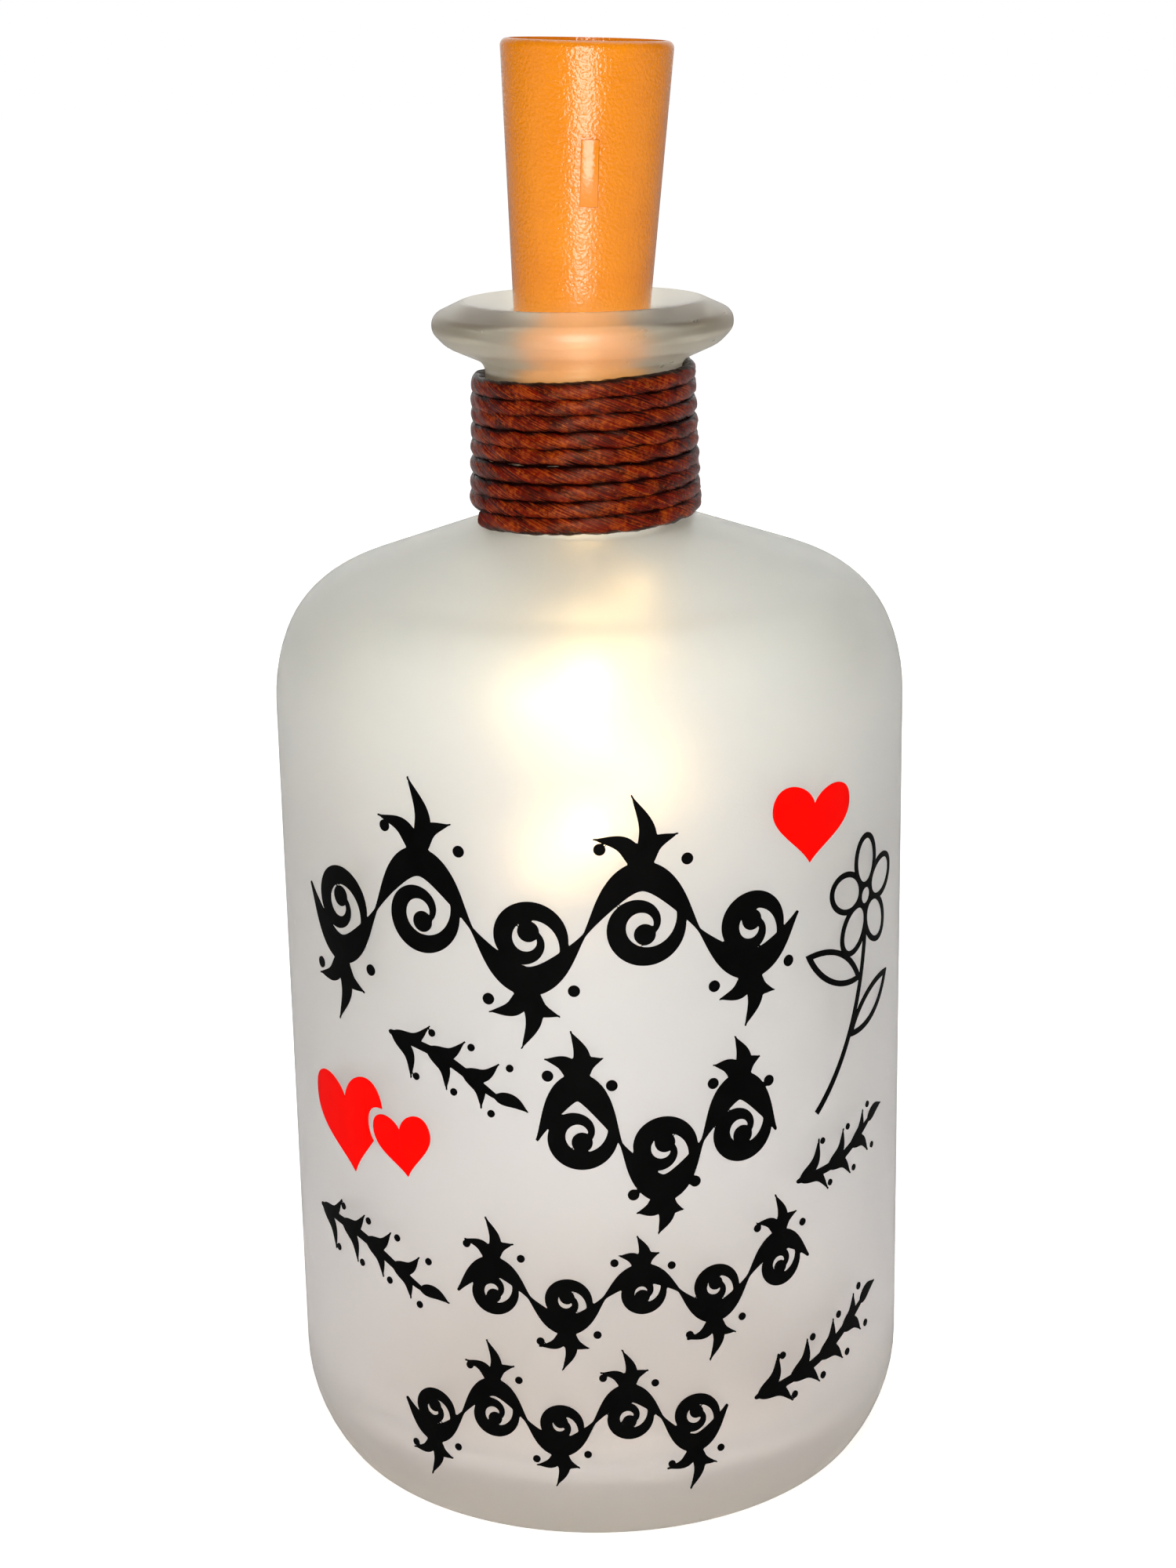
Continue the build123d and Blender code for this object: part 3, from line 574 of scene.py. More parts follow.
# Painted glow: the lip's front and back, near the top, take a pale warm tint in place of the
# lip's grey green.
middle = 1 - between(graph, aside * aside, *(edge**2 for edge in LIP_GLOW_ASIDE))
wear_and_glow = middle * between(graph, height, *LIP_GLOW_HEIGHT)
graph.feed("Base Color", blend(graph, tint_and_shading, LIP_GLOW_TINT, wear_and_glow))
rubs = between(graph, spots(graph, RUB_SIZE, stretch=(1, 1, 0.3)), *RUB_SHARE)
frost = BODY_FROST + (LIP_FROST - BODY_FROST) * between(graph, height, *FROST_CHANGE)
graph.feed("Roughness", frost + (patches - 0.5) * FROST_WANDER - rubs * RUB_GLOSS)
bumped(graph, spots(graph, FROST_GRAIN), FROST_DEPTH)
print("frosted glass:", len(graph.tree.nodes), "nodes")

# %% [markdown]
# Waxed cord is twisted fibre soaked in brown wax. Its colour runs in streaks along the strands,
# rubbed lighter in places, and the wax shines in broken flecks. The grooves between plies and
# turns get painted shade, a near black colour. The streaks follow the attributes that the strand
# tree wrote, and the painted shade in the grooves follows its number for how proud each point
# stands.

# %% Waxed cord
PAINTED_GROOVE_SHADE, WAX_DARK = (0.008, 0.0003, 0.0001, 1), (0.02, 0.0003, 0.0, 1)
WAX_MIDDLE, WAX_LIGHT = (0.13, 0.003, 0.0001, 1), (0.44, 0.075, 0.003, 1)
WAX_GLOSS, WORN_SHARE, GROOVE_SHADE_EDGE, FIBRE_DEPTH = (1, 0.6, 0.4, 1), 0.65, (0.5, 0.86), 0.0001
STREAK, FIBRE, BLOTCH_SIZE, SPECK_SIZE = (0.005, 0.22), (0.006, 0.07), 0.003, 0.0005
TONE_EDGE, WORN_EDGE = (0.4, 0.56), (0.49, 0.6)


def strand_vector(graph, along_size, around_size):
    """Coordinates that run along and round a strand."""
    read = [
        graph.add("ShaderNodeAttribute", {"attribute_name": name}, {}, "Fac")
        for name in ("along", "side", "crown")
    ]
    terms = {0: read[0] / along_size, 1: read[1] / around_size, 2: read[2] / around_size}
    return graph.add("ShaderNodeCombineXYZ", {}, terms)


graph = finish("waxed_cord", Specular_IOR_Level=0.25, Specular_Tint=WAX_GLOSS)
streaks = graph.noise(strand_vector(graph, *STREAK), 5.0, Roughness=0.7)
fibres = graph.noise(strand_vector(graph, *FIBRE), 3.0)
blotches, specks = spots(graph, BLOTCH_SIZE, 3.0), spots(graph, SPECK_SIZE)
tone = between(graph, streaks * 0.7 + blotches * 0.3, *TONE_EDGE)
colour = blend(graph, WAX_DARK, WAX_MIDDLE, tone)
wear_and_glow = between(graph, fibres * 0.5 + blotches * 0.25 + specks * 0.25, *WORN_EDGE)
colour = blend(graph, colour, WAX_LIGHT, wear_and_glow * WORN_SHARE)
proud = graph.add("ShaderNodeAttribute", {"attribute_name": "proud"}, {}, "Fac")
# Painted shade: where the cord is least proud, in the grooves, it takes a near black colour.
crown = between(graph, proud + (streaks - 0.5) * 0.9, *GROOVE_SHADE_EDGE)
graph.feed("Base Color", blend(graph, PAINTED_GROOVE_SHADE, colour, crown))
graph.feed("Roughness", 0.14 + fibres * 0.2)
bumped(graph, fibres * 0.4 + streaks * 0.6, FIBRE_DEPTH)
print("waxed cord:", len(graph.tree.nodes), "nodes")

# %% [markdown]
# The hearts, the flower and the scrolls are cut vinyl film: one flat colour, almost matt.
# Small things show that it is film, such as a slight orange peel and a gloss that is uneven
# where the glue under it is.

# %% Vinyl film
CLOUD_SIZE, GLUE_SIZE, PEEL_SIZE, PEEL_DEPTH = 0.003, 0.002, 0.0006, 0.000012


def vinyl(name, dark, light):
    """Cut film in a colour."""
    graph = finish(name, Specular_IOR_Level=0.03)
    graph.feed("Base Color", blend(graph, dark, light, spots(graph, CLOUD_SIZE)))
    graph.feed("Roughness", 0.5 + spots(graph, GLUE_SIZE) * 0.12)
    bumped(graph, spots(graph, PEEL_SIZE, 1.0), PEEL_DEPTH)


vinyl("red_film", (0.92, 0.0, 0.0, 1), (1.0, 0.003, 0.0, 1))
vinyl("black_film", grey(0.0), grey(0.002))
print("two films")

# %% [markdown]
# The stopper is moulded in a tool that was sparked to a fine pebble, so its gloss breaks into
# glints. A bump of tiny cells over a moderate gloss gives that, weaker on the raised bar, whose
# place in the tool was ground smooth. The cradle, the cap and the switch are moulded too, and
# one helper makes them all. The stopper's foot has a painted glow, an orange emission that
# stands in for the string's light falling on it, and the glass lip shows that glow warm.

# %% Moulded plastics
STOPPER_FOOT, STOPPER_RIM, STOPPER_LEAN = (7.7, -16.3), (10.85, 31.7), math.radians(2.2)
STOPPER_TAPER = (STOPPER_RIM[0] - STOPPER_FOOT[0]) / (STOPPER_RIM[1] - STOPPER_FOOT[1])
BAR_EDGE, BAR_SMOOTH, HAZE_SIZE = (0.0001, 0.0002), 0.75, 0.006
PAINTED_GLOW_COLOUR, PAINTED_GLOW_REACH = (1.0, 0.45, 0.05, 1), (0.145, 0.159)
ORANGE = (0.73, 0.205, 0.0005, 1), (0.83, 0.262, 0.003, 1)
BOARD_GREENS = (0.01, 0.1, 0.035, 1), (0.03, 0.2, 0.08, 1)


def stopper_radius(height):
    """Outer radius of the stopper's taper in millimetres, at a height above the lip."""
    return STOPPER_FOOT[0] + (height - STOPPER_FOOT[1]) * STOPPER_TAPER


def raised(graph):
    """1 on what stands out of the stopper's tapered side, such as its bar."""
    above = coordinate(graph, "Z") - BOTTLE_HEIGHT
    aside = coordinate(graph, "X") - above * math.tan(STOPPER_LEAN)
    back = coordinate(graph, "Y")
    side = above * STOPPER_TAPER + stopper_radius(0) * MM
    return between(graph, (aside * aside + back * back) ** 0.5 - side, *BAR_EDGE)


def moulded(name, dark, light, grain_size, grain_depth, gloss, painted_glow_strength=0.0):
    """Moulded plastic with a sparked grain, and a painted glow at its foot where
    painted_glow_strength is set.
    """
    graph = finish(name, Specular_IOR_Level=0.66)
    graph.feed("Base Color", blend(graph, dark, light, spots(graph, HAZE_SIZE)))
    grain = spots(graph, grain_size, 1.5)
    graph.feed("Roughness", gloss + (spots(graph, grain_size * 2) - 0.5) * 0.3)
    if painted_glow_strength:
        grain = grain * (1 - raised(graph) * BAR_SMOOTH)
        # Painted glow: below the lip the foot glows orange, as if lit by the string.
        foot = 1 - between(graph, coordinate(graph, "Z"), *PAINTED_GLOW_REACH)
        graph.feed("Emission Color", blend(graph, grey(0), PAINTED_GLOW_COLOUR, foot))
        graph.feed("Emission Strength", painted_glow_strength)
    bumped(graph, grain, grain_depth)


moulded("stopper_plastic", *ORANGE, 0.00042, 0.00011, 0.17, 0.5)
moulded("cradle_plastic", *ORANGE, 0.0003, 0.00004, 0.42)
moulded("switch_black", grey(0.01), grey(0.02), 0.0002, 0.00002, 0.4)
moulded("soft_rubber", grey(0.02), grey(0.035), 0.0004, 0.00002, 0.65)
moulded("resistor_body", grey(0.01), grey(0.03), 0.0001, 0.00001, 0.5)
moulded("circuit_board", *BOARD_GREENS, 0.0003, 0.00002, 0.35)
print("six plastics")

# %% [markdown]
# Plated cells, contact strips and the spring are bare metal with fine scratches. One helper
# makes them, and the scratches are noise that is drawn out along one axis.

# %% Plated metals
SCRATCH_SIZE, SCRATCH_DEPTH, SCRATCH_SHADE = 0.0002, 0.000004, 0.8
SILVER, SILVER_SIZE = ((0.7, 0.71, 0.7, 1), (0.86, 0.86, 0.84, 1)), 0.0015


def plated(name, tone, roughness, stretch):
    """Plated metal with fine scratches along one axis."""
    graph = finish(name, Metallic=1.0)
    scratches = spots(graph, SCRATCH_SIZE, 3.0, stretch)
    dull = (*(SCRATCH_SHADE * c for c in tone[:3]), 1)
    graph.feed("Base Color", blend(graph, tone, dull, scratches))
    graph.feed("Roughness", roughness + scratches * 0.15)
    bumped(graph, scratches, SCRATCH_DEPTH)


plated("cell_steel", (0.68, 0.67, 0.64, 1), 0.16, (12, 1, 1))
plated("contact_metal", (0.8, 0.76, 0.66, 1), 0.22, (1, 1, 10))
plated("spring_steel", grey(0.72), 0.2, (1, 1, 1))
plated("switch_case", grey(0.66), 0.28, (8, 1, 1))
graph = finish("lacquered_wire", Metallic=0.85, Coat_Weight=0.6)
silver = spots(graph, SILVER_SIZE)
graph.feed("Base Color", blend(graph, *SILVER, silver))
graph.feed("Roughness", 0.25 + silver * 0.2)
print("five metals")

# %% [markdown]
# Each light is a chip in a drop of clear resin. Lit, the drop is what one sees, so the drop
# itself glows warm white. The photograph's glow is white at the middle of the string, and only
# warm and narrow above and below, so the drops at both ends are dimmer. It is also stronger on
# the left, where more of the string's drops face the viewer.

# %% Lit drops and clear resin
BEAD_LIGHT, DIM = 340.0, 0.012
BRIGHT_FROM, BRIGHT_TO = (0.074, 0.088), (0.107, 0.117)
SIDE_FALL, SIDE_MEAN = 0.0092, 1.6
BEAD_AMBER, BEAD_WARM = (1.0, 0.86, 0.6, 1), (1.0, 0.62, 0.25, 1)
BEAD_WHITE, RESIN_SIZE = (1.0, 0.74, 0.39, 1), 0.002
RESIN = (0.9, 0.87, 0.76, 1), (0.95, 0.94, 0.9, 1)
graph = finish("lit_bead", Roughness=0.2, Emission_Strength=BEAD_LIGHT)
graph.feed("Base Color", BEAD_AMBER)
warmth = spots(graph, RESIN_SIZE)
height = coordinate(graph, "Z")
bright = between(graph, height, *BRIGHT_FROM) * (1 - between(graph, height, *BRIGHT_TO))
bright = bright * (1 - coordinate(graph, "X") / SIDE_FALL) / SIDE_MEAN
tone = blend(graph, BEAD_WARM, BEAD_WHITE, warmth * 0.3 + bright * 0.7)
tone = blend(graph, grey(0), tone, DIM + bright * (1 - DIM))
graph.feed("Emission Color", tone)
graph = finish("clear_resin", Transmission_Weight=0.6, IOR=1.5)
graph.feed("Base Color", blend(graph, *RESIN, spots(graph, RESIN_SIZE)))
graph.feed("Roughness", 0.12 + spots(graph, RESIN_SIZE / 2) * 0.1)
print("bead light", BEAD_LIGHT)

# %% [markdown]
# The bottle is a body of revolution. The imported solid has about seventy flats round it, which
# gloss and refraction would show, so the same outline is turned again with more steps. Each
# corner of the outline has its own bend, and a helper replaces the corner by its arc.

# %% The bottle's outline, turned
GLASS_CORNERS = (
    (0, 3.2, 0), (22, 3.2, 16), (30.4, 0, 1.2), (36, 0, 4.5), (41, 7.3, 20),
    (41, 109.2, 23.4), (37, 119.1, 13.4), (13.2, 127.5, 2.6), (12.5, 147.6, 2),
    (17.6, 149.9, 4), (19.25, 151.7, 1.8), (19.1, 153.6, 1.6), (15.25, 155.4, 1.6),
    (8.92, 153.9, 0.8), (9.12, 125.759, 3), (34.725, 116.721, 10.4), (38, 108.617, 20.4),
    (38, 6.4, 9), (18, 8.6, 24), (0, 8.6, 0),
)
TURN_STEPS, ARC_STEP = 160, math.radians(5)


def rounded_outline(corners):
    """Points of an outline, each corner replaced by its arc."""
    points = []
    for i, (radius, height, bend) in enumerate(corners):
        corner = Vector((radius, height))
        if bend == 0:
            points.append(corner)
            continue
        back = (Vector(corners[i - 1][:2]) - corner).normalized()
        on = (Vector(corners[i + 1][:2]) - corner).normalized()
        half = back.angle(on) / 2
        centre = corner + (back + on).normalized() * (bend / math.sin(half))
        start = corner + back * (bend / math.tan(half)) - centre
        end = corner + on * (bend / math.tan(half)) - centre
        turn = math.atan2(start.x * end.y - start.y * end.x, start.dot(end))
        steps = max(3, math.ceil(abs(turn) / ARC_STEP))
        for k in range(steps + 1):
            angle = turn * k / steps
            cosine, sine = math.cos(angle), math.sin(angle)
            x, y = start.x * cosine - start.y * sine, start.x * sine + start.y * cosine
            points.append(centre + Vector((x, y)))
    return points


def turned_mesh(name, outline, steps):
    """A closed mesh turned from an outline that starts and ends on the axis."""
    angles = [math.tau * k / steps for k in range(steps)]
    ring = [(math.cos(angle), math.sin(angle)) for angle in angles]
    vertices = [(0, 0, outline[0].y * MM)]
    for point in outline[1:-1]:
        vertices += [(point.x * c * MM, point.x * s * MM, point.y * MM) for c, s in ring]
    vertices.append((0, 0, outline[-1].y * MM))
    rows, last, faces = len(outline) - 2, len(vertices) - 1, []
    for k in range(steps):
        n = (k + 1) % steps
        faces.append((0, 1 + n, 1 + k))
        faces.append((last, last - steps + k, last - steps + n))
        for row in range(rows - 1):
            low, high = 1 + row * steps, 1 + (row + 1) * steps
            faces.append((low + k, low + n, high + n, high + k))
    mesh = bpy.data.meshes.new(name)
    mesh.from_pydata(vertices, [], faces)
    mesh.shade_smooth()
    return mesh


def show(name, mesh, body, slot, *nodes):
    """A finished piece: linked, dressed, riding on its body, in place of its nodes."""
    obj = mesh if isinstance(mesh, bpy.types.Object) else linked(name, mesh)
    if not obj.data.materials:
        obj.data.materials.append(LOOKS[slot])
    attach(obj, body)
    if nodes:
        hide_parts(*nodes)
    print(name, len(obj.data.polygons), "faces, on", body)
    return obj


bottle_mesh = turned_mesh("frosted_bottle", rounded_outline(GLASS_CORNERS), TURN_STEPS)
show("frosted_bottle", bottle_mesh, "bottle", "frosted_glass", "glass_bottle")

# %% [markdown]
# The neck's cord is wound by hand: its turns touch, wander a little and press flat against
# each other and the glass. The route climbs as a right-handed helix, and the strand tree makes
# three plies of it.

# %% The cord round the neck
CORD_TURNS, CORD_PITCH, CORD_START, CORD_ANGLE = 8.6, 2.09, 128.5, math.radians(205)
CORD_POINTS_A_TURN, CORD_STAND, CORD_STRAY = 24, 1.18, 0.28
CORD_WANDER = (0, 1, -0.6, 0.4, -1, 0.7, 0, -0.8, 1, -0.3)
CORD_WANDER += (0.5, -1, 0.8, 0, -0.5, 0.9, -0.7, 0.3, 0, 0)
RIPPLE_SHARE, RIPPLE_BEATS = 0.4, (17.3, 5.1)
NECK_FOOT, NECK_TOP, NECK_FLARE, FLARE_HEIGHT = (13.2, 127.5), (12.5, 147.3), 0.3, 1.6
NECK_SLOPE = (NECK_TOP[0] - NECK_FOOT[0]) / (NECK_TOP[1] - NECK_FOOT[1])


def cord_point(turn):
    """Middle of the cord after some turns, in metres."""
    wander = CORD_STRAY * eased(CORD_WANDER, min(2 * turn, len(CORD_WANDER) - 1))
    quick, slow = (math.sin(turn * beat) for beat in RIPPLE_BEATS)
    wander += RIPPLE_SHARE * CORD_STRAY * quick * slow
    height = CORD_START + CORD_PITCH * turn + wander
    above = height - NECK_FOOT[1]
    radius = NECK_FOOT[0] + NECK_SLOPE * above + CORD_STAND
    radius += NECK_FLARE * math.exp(-above / FLARE_HEIGHT)
    angle = CORD_ANGLE + turn * math.tau
    return Vector((radius * math.cos(angle), radius * math.sin(angle), height)) * MM


cord_count = round(CORD_TURNS * CORD_POINTS_A_TURN)
cord_route = [cord_point(CORD_TURNS * i / cord_count) for i in range(cord_count + 1)]
cord_spline = spline_object("neck_cord_route", cord_route)
plies = {
    "Strands": 3, "Strand Radius": 1.02 * MM, "Strand Offset": 0.26 * MM, "Sides": 14,
    "Twist Length": 15.0 * MM, "Step": 0.42 * MM, "Squeeze": 0.6, "Ragged": 0.5 * MM,
    "Material": LOOKS["waxed_cord"],
}
neck_cord = grown(cord_spline, STRAND_TREE, plies, "neck_cord_plies")
show("neck_cord_plies", neck_cord, "bottle", "waxed_cord", "neck_cord")

# %% [markdown]
# The print between the hearts is cut from one sheet of black film. Here it is a traditional
# border: vines that swing from side to side with a scroll in every bay, and sprigs of leaves.
# Each stroke swells and thins as a broad pen does. A stroke is many small discs, a grid holds
# the distance to the nearest disc, and the line where that distance is zero is the edge of the
# film, so crossing strokes become one sheet. Places on the unrolled glass are complex numbers,
# because a product then turns a leaf about its root.

# %% Strokes of the print
PEN_STEP, THIN, THIN_LEAF, LEAF_BELLY = 0.12, 0.42, 0.12, 0.62
STEM_STEPS, SCROLL_STEPS, SCROLL_TURNS, SCROLL_CLOSES = 12, 20, 1.35, 0.78
VINE_LEAVES = ((0.95, 0.48, -0.2), (0.12, 0.64, -0.14), (-0.8, 0.42, 0.2))
VINE_BERRIES = ((0.4, 0.3), (-0.36, 0.42))


def smooth_line(points):
    """A Catmull-Rom line through points, in small steps."""
    ends = [2 * points[0] - points[1], *points, 2 * points[-1] - points[-2]]
    line = []
    for a, b, c, d in zip(ends, ends[1:], ends[2:], ends[3:]):
        steps = max(2, math.ceil(abs(c - b) / PEN_STEP))
        for k in range(steps):
            t = k / steps
            bend = (2 * a - 5 * b + 4 * c - d) * t**2 + (3 * b - a - 3 * c + d) * t**3
            line.append(0.5 * (2 * b + (c - a) * t + bend))
    return [*line, points[-1]]


def pen(points, thick, swell=1.3, ball=0.0):
    """Discs along a line: thin at the ends, thick in the middle, with a ball at the end."""
    line = smooth_line(points)
    discs = []
    for k, point in enumerate(line):
        share = max(0, math.sin(math.pi * k / (len(line) - 1))) ** swell
        discs.append((point, (THIN + (thick - THIN) * share) / 2))
    return [*discs, (line[-1], ball)] if ball else discs


def leaf(root, tip, thick, bow):
    """A drop-shaped leaf between two points, bowed to one side."""
    line = smooth_line([root, (root + tip) / 2 + (tip - root) * 1j * bow, tip])
    shares = [(k / (len(line) - 1)) ** LEAF_BELLY for k in range(len(line))]
    radii = [max(THIN_LEAF, thick / 2 * math.sin(math.pi * share)) for share in shares]
    return list(zip(line, radii))


def vine(start, end, swing, bays, thick, hand, sizes):
    """A stem that swings to both sides, with a scroll in every bay and leaves outside it."""
    bay, discs = (end - start) / bays, []
    wide = abs(bay)
    for i in range(bays):
        side, size, left = hand * (-1) ** i, sizes[i % len(sizes)], start + i * bay
        rise, stem = 1j * side * swing * size, []
        for k in range(STEM_STEPS + 1):
            share = k / STEM_STEPS
            stem.append(left + bay * share + rise * math.sin(math.pi * share))
        discs += pen(stem, thick)
        eye, root = left + bay / 2 + 0.14 * rise, stem[STEM_STEPS * 3 // 4]
        reach, first, scroll = abs(root - eye), cmath.phase(root - eye), []
        for k in range(SCROLL_STEPS + 1):
            share = k / SCROLL_STEPS
            angle = first - side * math.tau * SCROLL_TURNS * share
            scroll.append(eye + cmath.rect(reach * (1 - SCROLL_CLOSES * share**0.85), angle))
        discs += pen(scroll, 0.66 * thick, 1.2, 0.36 * thick)
        crest = stem[STEM_STEPS // 2] + 0.2j * side * thick
        for turn, length, bow in VINE_LEAVES:
            tip = crest + cmath.rect(length * wide * size, side * (math.pi / 2 + turn))
            discs += leaf(crest, tip, 0.62 * thick, bow * side)
        for aside, out in VINE_BERRIES:
            berry = complex(aside * wide, side * (out * wide * size - 0.5 * swing))
            discs.append((crest + berry, 0.2 * thick))
    return discs


def sprig(start, end, thick, pairs, bow):
    """A bowed stem with pairs of leaves, berries between them and a leaf at its tip."""
    bowed = [start, (start + end) / 2 + (end - start) * 1j * bow, end]
    stem, length = smooth_line(bowed), abs(end - start)
    way, reach = (end - start) / length, length / pairs
    discs = pen(bowed, 0.42 * thick, 0.4)
    discs += leaf(end, end + way * 0.8 * reach, 0.6 * thick, 0.1)
    for i in range(pairs):
        at = stem[int((i + 0.1) / pairs * (len(stem) - 1))]
        for side in (1, -1):
            tip = at + way * cmath.rect(reach * (1.12 - 0.3 * i / pairs), side * 0.72)
            discs += leaf(at, tip, 0.6 * thick, -0.2 * side)
            discs.append((at + way * complex(0.95 * reach, side * 0.62 * reach), 0.17 * thick))
    return discs


# %% [markdown]
# The rows keep the places, heights and weight that the photograph shows. Each is given on the
# unrolled glass, in millimetres round from the front line and above the foot.

# %% Rows of the print
PRINT_ROWS = {
    "vine_row_1": vine(-43 + 85j, 26.8 + 84j, 6.8, 5, 3.7, -1, (1, 1.1, 0.9, 1.06, 0.8)),
    "sprig_row_2": sprig(-27.5 + 69.2j, -12.5 + 63j, 2.9, 3, 0.08),
    "vine_row_2": vine(-7.4 + 57.8j, 23.4 + 56.2j, 7.3, 3, 3.6, 1, (1, 0.82, 0.9)),
    "sprig_row_3": sprig(27 + 48j, 42 + 51.6j, 2.6, 3, -0.08),
    "sprig_row_4": sprig(-44.5 + 40.2j, -24 + 35j, 2.9, 4, 0.08),
    "vine_row_4": vine(-18.4 + 36.2j, 28.8 + 37.4j, 3.9, 5, 2.6, 1, (1, 0.95, 0.76, 1, 0.95)),
    "vine_row_5": vine(-27 + 18.8j, 16.2 + 19.8j, 3.9, 5, 2.5, -1, (1, 1.1, 0.9)),
    "sprig_row_5": sprig(20.4 + 19.8j, 40.4 + 26.4j, 3.0, 4, -0.06),
}
CELL, FILM_RADIUS, FILM_THICKNESS = 0.22, 41.03, 0.1


def film_field(discs):
    """Distance to the nearest disc's edge on a grid, negative inside, and the grid's corner."""
    low = (discs[:, :2] - discs[:, 2:]).min(0) - 3 * CELL
    high = (discs[:, :2] + discs[:, 2:]).max(0) + 3 * CELL
    count = np.ceil((high - low) / CELL).astype(int)
    field = np.full(count, CELL)
    for s, z, radius in discs:
        place = np.array((s, z)) - low
        first = np.maximum(((place - radius) / CELL).astype(int) - 1, 0)
        last = np.minimum(((place + radius) / CELL).astype(int) + 3, count)
        grid_s = low[0] + CELL * np.arange(first[0], last[0])[:, None]
        grid_z = low[1] + CELL * np.arange(first[1], last[1])[None, :]
        window = field[first[0] : last[0], first[1] : last[1]]
        np.minimum(window, np.hypot(grid_s - s, grid_z - z) - radius, out=window)
    return field, low


def cut_film(name, discs):
    """The sheet inside the field's zero line, laid round the bottle."""
    field, low = film_field(discs)
    places, index, faces = [], {}, []

    def corner(key, grid_place):
        if key not in index:
            index[key] = len(places)
            places.append(low + CELL * np.array(grid_place))
        return index[key]

    inside = field < 0
    busy = inside[:-1, :-1] | inside[1:, :-1] | inside[:-1, 1:] | inside[1:, 1:]
    for i, j in np.argwhere(busy):
        loop, around = [], [(i, j), (i + 1, j), (i + 1, j + 1), (i, j + 1)]
        for here, after in zip(around, around[1:] + around[:1]):
            if inside[here]:
                loop.append(corner(here, here))
            if inside[here] != inside[after]:
                share = field[here] / (field[here] - field[after])
                place = np.array(here) + share * (np.array(after) - np.array(here))
                loop.append(corner((min(here, after), max(here, after)), place))
        faces.append(loop)
    flat = np.array(places)
    angle = flat[:, 0] / FILM_RADIUS
    wrapped = (np.sin(angle) * FILM_RADIUS, -np.cos(angle) * FILM_RADIUS, flat[:, 1])
    mesh = bpy.data.meshes.new(name)
    mesh.from_pydata([tuple(place) for place in np.stack(wrapped, 1) * MM], [], faces)
    obj = linked(name, mesh)
    thickness = obj.modifiers.new("thickness", "SOLIDIFY")
    thickness.thickness, thickness.offset = FILM_THICKNESS * MM, 1
    return obj


for name, discs in PRINT_ROWS.items():
    flat_discs = np.array([(place.real, place.imag, radius) for place, radius in discs])
    show(name, cut_film(name, flat_discs), "bottle", "black_film")

# %% [markdown]
# The stopper is turned like the bottle, with its battery bay inside, and leans a little to the
# right as in the photograph. The outline is a loop here, because a hole for the wire runs
# through the stopper's floor. The plain raised bar is a small box with bevelled edges that
# follows the taper and faces the front squarely, and a second box makes the key that holds the
# cap from turning.

# %% The stopper
STOPPER_CORNERS = (
    (1.6, -16.3, 0), (*STOPPER_FOOT, 0.6), (*STOPPER_RIM, 0.9), (9.75, 31.7, 0), (9.75, 29.1, 0),
    (6.75, 29.1, 0), (6.75, -1.35, 0), (5.9, -1.35, 0), (5.9, -14.9, 0), (1.6, -14.9, 0),
)
STOPPER_STEPS, SHARP = 96, math.radians(32)
BAR_TURN, BAR_HALF, BAR_LOW, BAR_HIGH = math.radians(3.2), 1.1, 12.05, 20.15
BAR_PROUD, BAR_ROOT, BAR_BEVEL = 0.35, 0.55, 0.1
KEY_LOW, KEY_HIGH, KEY_HALF, KEY_INNER, KEY_OUTER, KEY_BEVEL = 29.1, 30.7, 1, 8.85, 10.3, 0.05
stopper_place = Matrix.Translation((0, 0, BOTTLE_HEIGHT))
stopper_place = stopper_place @ Matrix.Rotation(STOPPER_LEAN, 4, "Y")


def box_between(shell, corners, bevel):
    """A box from its eight corners, low ring then high ring, with bevelled edges."""
    verts = [shell.verts.new(Vector(c) * MM) for c in corners]
    rings = [(3, 2, 1, 0), (4, 5, 6, 7), (0, 1, 5, 4), (1, 2, 6, 5), (2, 3, 7, 6), (3, 0, 4, 7)]
    faces = [shell.faces.new([verts[i] for i in ring]) for ring in rings]
    edges = list({edge for face in faces for edge in face.edges})
    bmesh.ops.bevel(shell, geom=edges, offset=bevel * MM, segments=2, affect="EDGES", profile=0.5)


def sharp_mesh(name, shell):
    """A mesh of a shell, shaded smooth up to its sharp edges."""
    mesh = bpy.data.meshes.new(name)
    shell.to_mesh(mesh)
    shell.free()
    mesh.shade_smooth()
    mesh.set_sharp_from_angle(angle=SHARP)
    return mesh


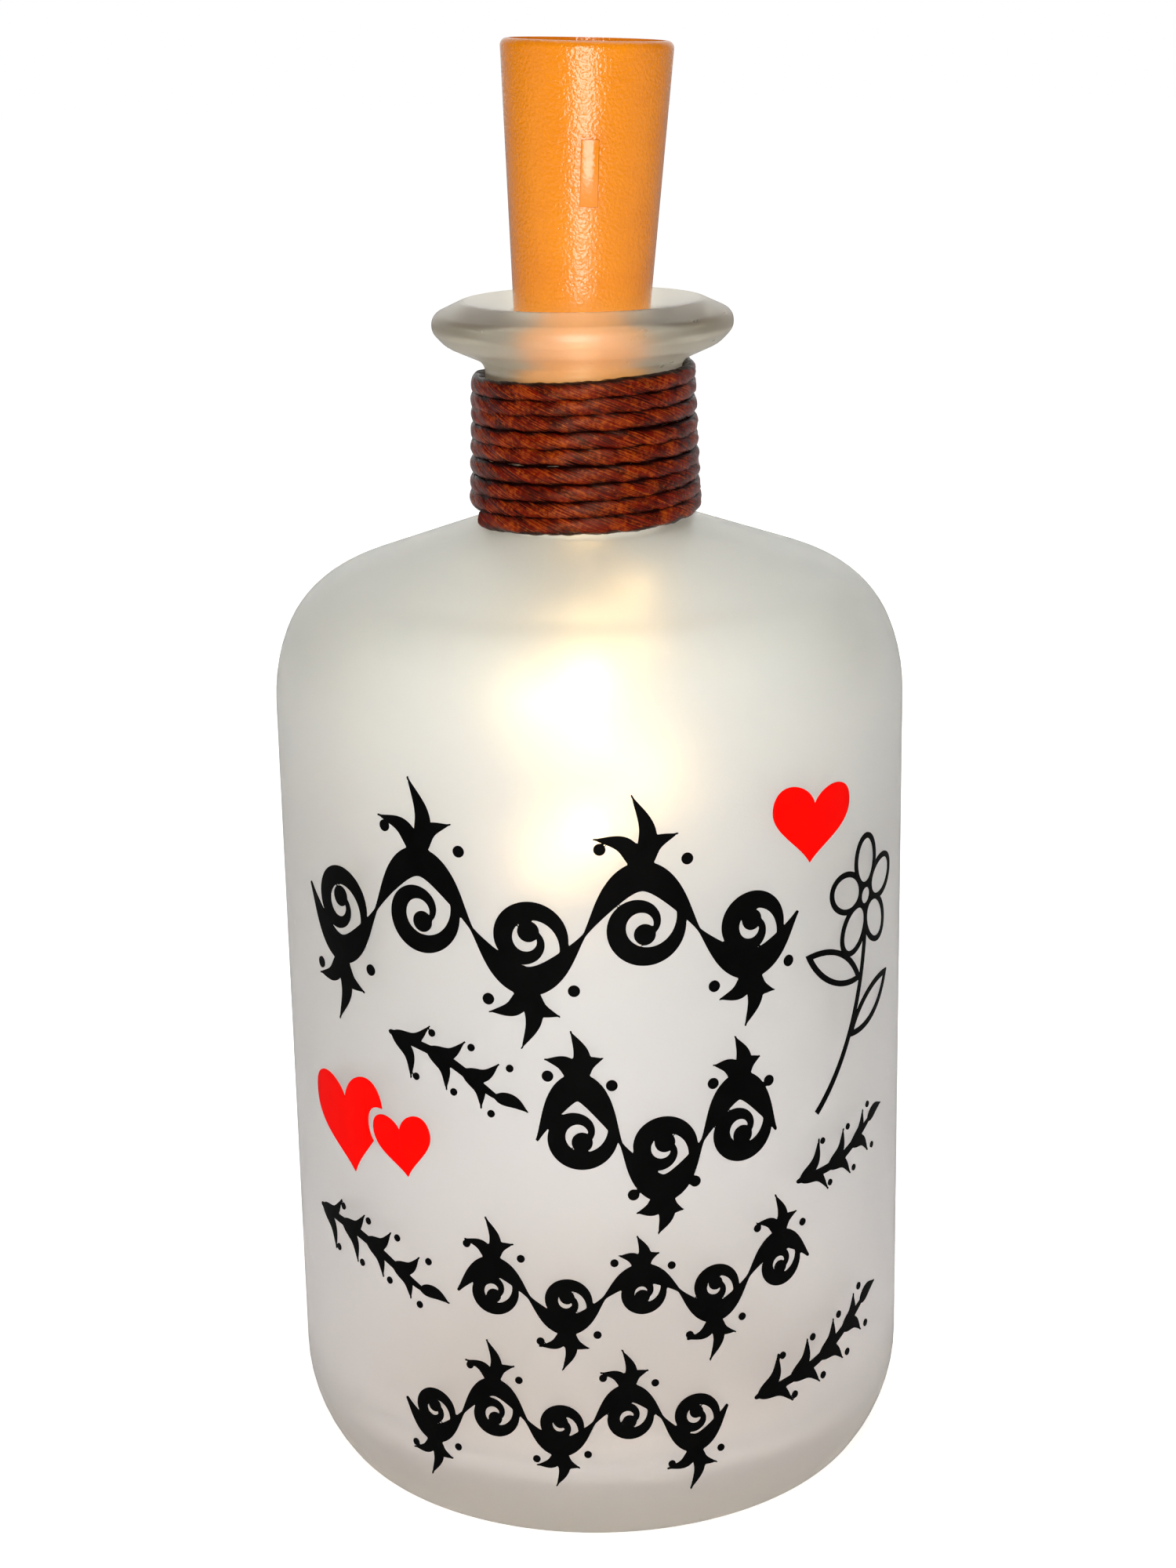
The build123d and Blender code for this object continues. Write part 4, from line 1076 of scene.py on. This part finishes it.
def stopper_mesh():
    """The turned stopper with its bar and key, leaning in the bottle's mouth."""
    outline, shell, rows = rounded_outline(STOPPER_CORNERS), bmesh.new(), []
    for k in range(STOPPER_STEPS):
        x, y = math.cos(math.tau * k / STOPPER_STEPS), math.sin(math.tau * k / STOPPER_STEPS)
        rows.append([shell.verts.new((p.x * x * MM, p.x * y * MM, p.y * MM)) for p in outline])
    for here, after in zip(rows, rows[1:] + rows[:1]):
        for i in range(len(outline)):
            n = (i + 1) % len(outline)
            shell.faces.new((here[i], after[i], after[n], here[n]))
    turn, square, bar = Matrix.Rotation(BAR_TURN, 3, "Z"), BAR_HALF * math.tan(BAR_TURN), []
    for height in (BAR_LOW, BAR_HIGH):
        front, back = -stopper_radius(height) - BAR_PROUD, -stopper_radius(height) + BAR_ROOT
        ring = [(-BAR_HALF, front + square), (BAR_HALF, front - square)]
        ring += [(BAR_HALF, back), (-BAR_HALF, back)]
        bar += [turn @ Vector((x, y, height)) for x, y in ring]
    box_between(shell, bar, BAR_BEVEL)
    ring = [(-KEY_HALF, KEY_INNER), (KEY_HALF, KEY_INNER)]
    ring += [(KEY_HALF, KEY_OUTER), (-KEY_HALF, KEY_OUTER)]
    box_between(shell, [(x, y, z) for z in (KEY_LOW, KEY_HIGH) for x, y in ring], KEY_BEVEL)
    shell.transform(stopper_place)
    return sharp_mesh("turned_stopper", shell)


show("turned_stopper", stopper_mesh(), "stopper_light", "stopper_plastic", "cork_shell")

# %% [markdown]
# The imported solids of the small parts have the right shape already. A copy with its loose
# triangles merged can be shaded smooth up to a sharp edge, which a moulding's rounded faces
# need. Each copy stands for its node and takes its finish.

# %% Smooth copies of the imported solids
MERGE_WITHIN = 1e-7


def smoothed(node, slot):
    """A merged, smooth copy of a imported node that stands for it."""
    source = frame["nodes"][node]
    shell = bmesh.new()
    shell.from_mesh(source.data)
    bmesh.ops.remove_doubles(shell, verts=shell.verts, dist=MERGE_WITHIN)
    mesh = sharp_mesh(node + "_smooth", shell)
    mesh.materials.clear()
    return show(node + "_smooth", mesh, source["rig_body"], slot, node)


FINISHES = {
    "wire_gland": "soft_rubber", "contact_board": "circuit_board",
    "contact_spring": "spring_steel", "side_leaf": "contact_metal",
    "series_resistor": "resistor_body", "cradle_frame": "cradle_plastic",
    "top_contact": "contact_metal", "bottom_contact": "contact_metal",
    "conductor_strip": "contact_metal", "switch_housing": "switch_case",
    "switch_terminals": "contact_metal", "switch_slider": "switch_black",
    "coin_cell_1": "cell_steel", "coin_cell_2": "cell_steel", "coin_cell_3": "cell_steel",
    "heart_film_upper": "red_film", "heart_film_large": "red_film",
    "heart_film_small": "red_film", "flower_film": "black_film",
    "wire_end_seal": "clear_resin",
}
BEAD_NODES = [f"led_bead_{i}" for i in range(1, 9)]
FINISHES |= {node: "lit_bead" for node in BEAD_NODES}
dressed = {node: smoothed(node, slot) for node, slot in FINISHES.items()}

# %% [markdown]
# The string takes the route from the first cells: a smooth NURBS line that two thin strands
# follow, with the lit drops threaded on it, and it rides on the stopper.

# %% The light string
string_spline = spline_object("light_string_route", string_points)
string_route = route_of(string_spline)
pair = {
    "Strands": 2, "Strand Radius": 0.2 * MM, "Strand Offset": 0.2 * MM, "Sides": 6,
    "Twist Length": 3.6 * MM, "Step": 0.4 * MM, "Squeeze": 1.0, "Ragged": 0.0,
    "Material": LOOKS["lacquered_wire"],
}
string_wire = grown(string_spline, STRAND_TREE, pair, "light_string_wire")
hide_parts("led_lead", "led_coil")
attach(string_wire, "stopper_light")
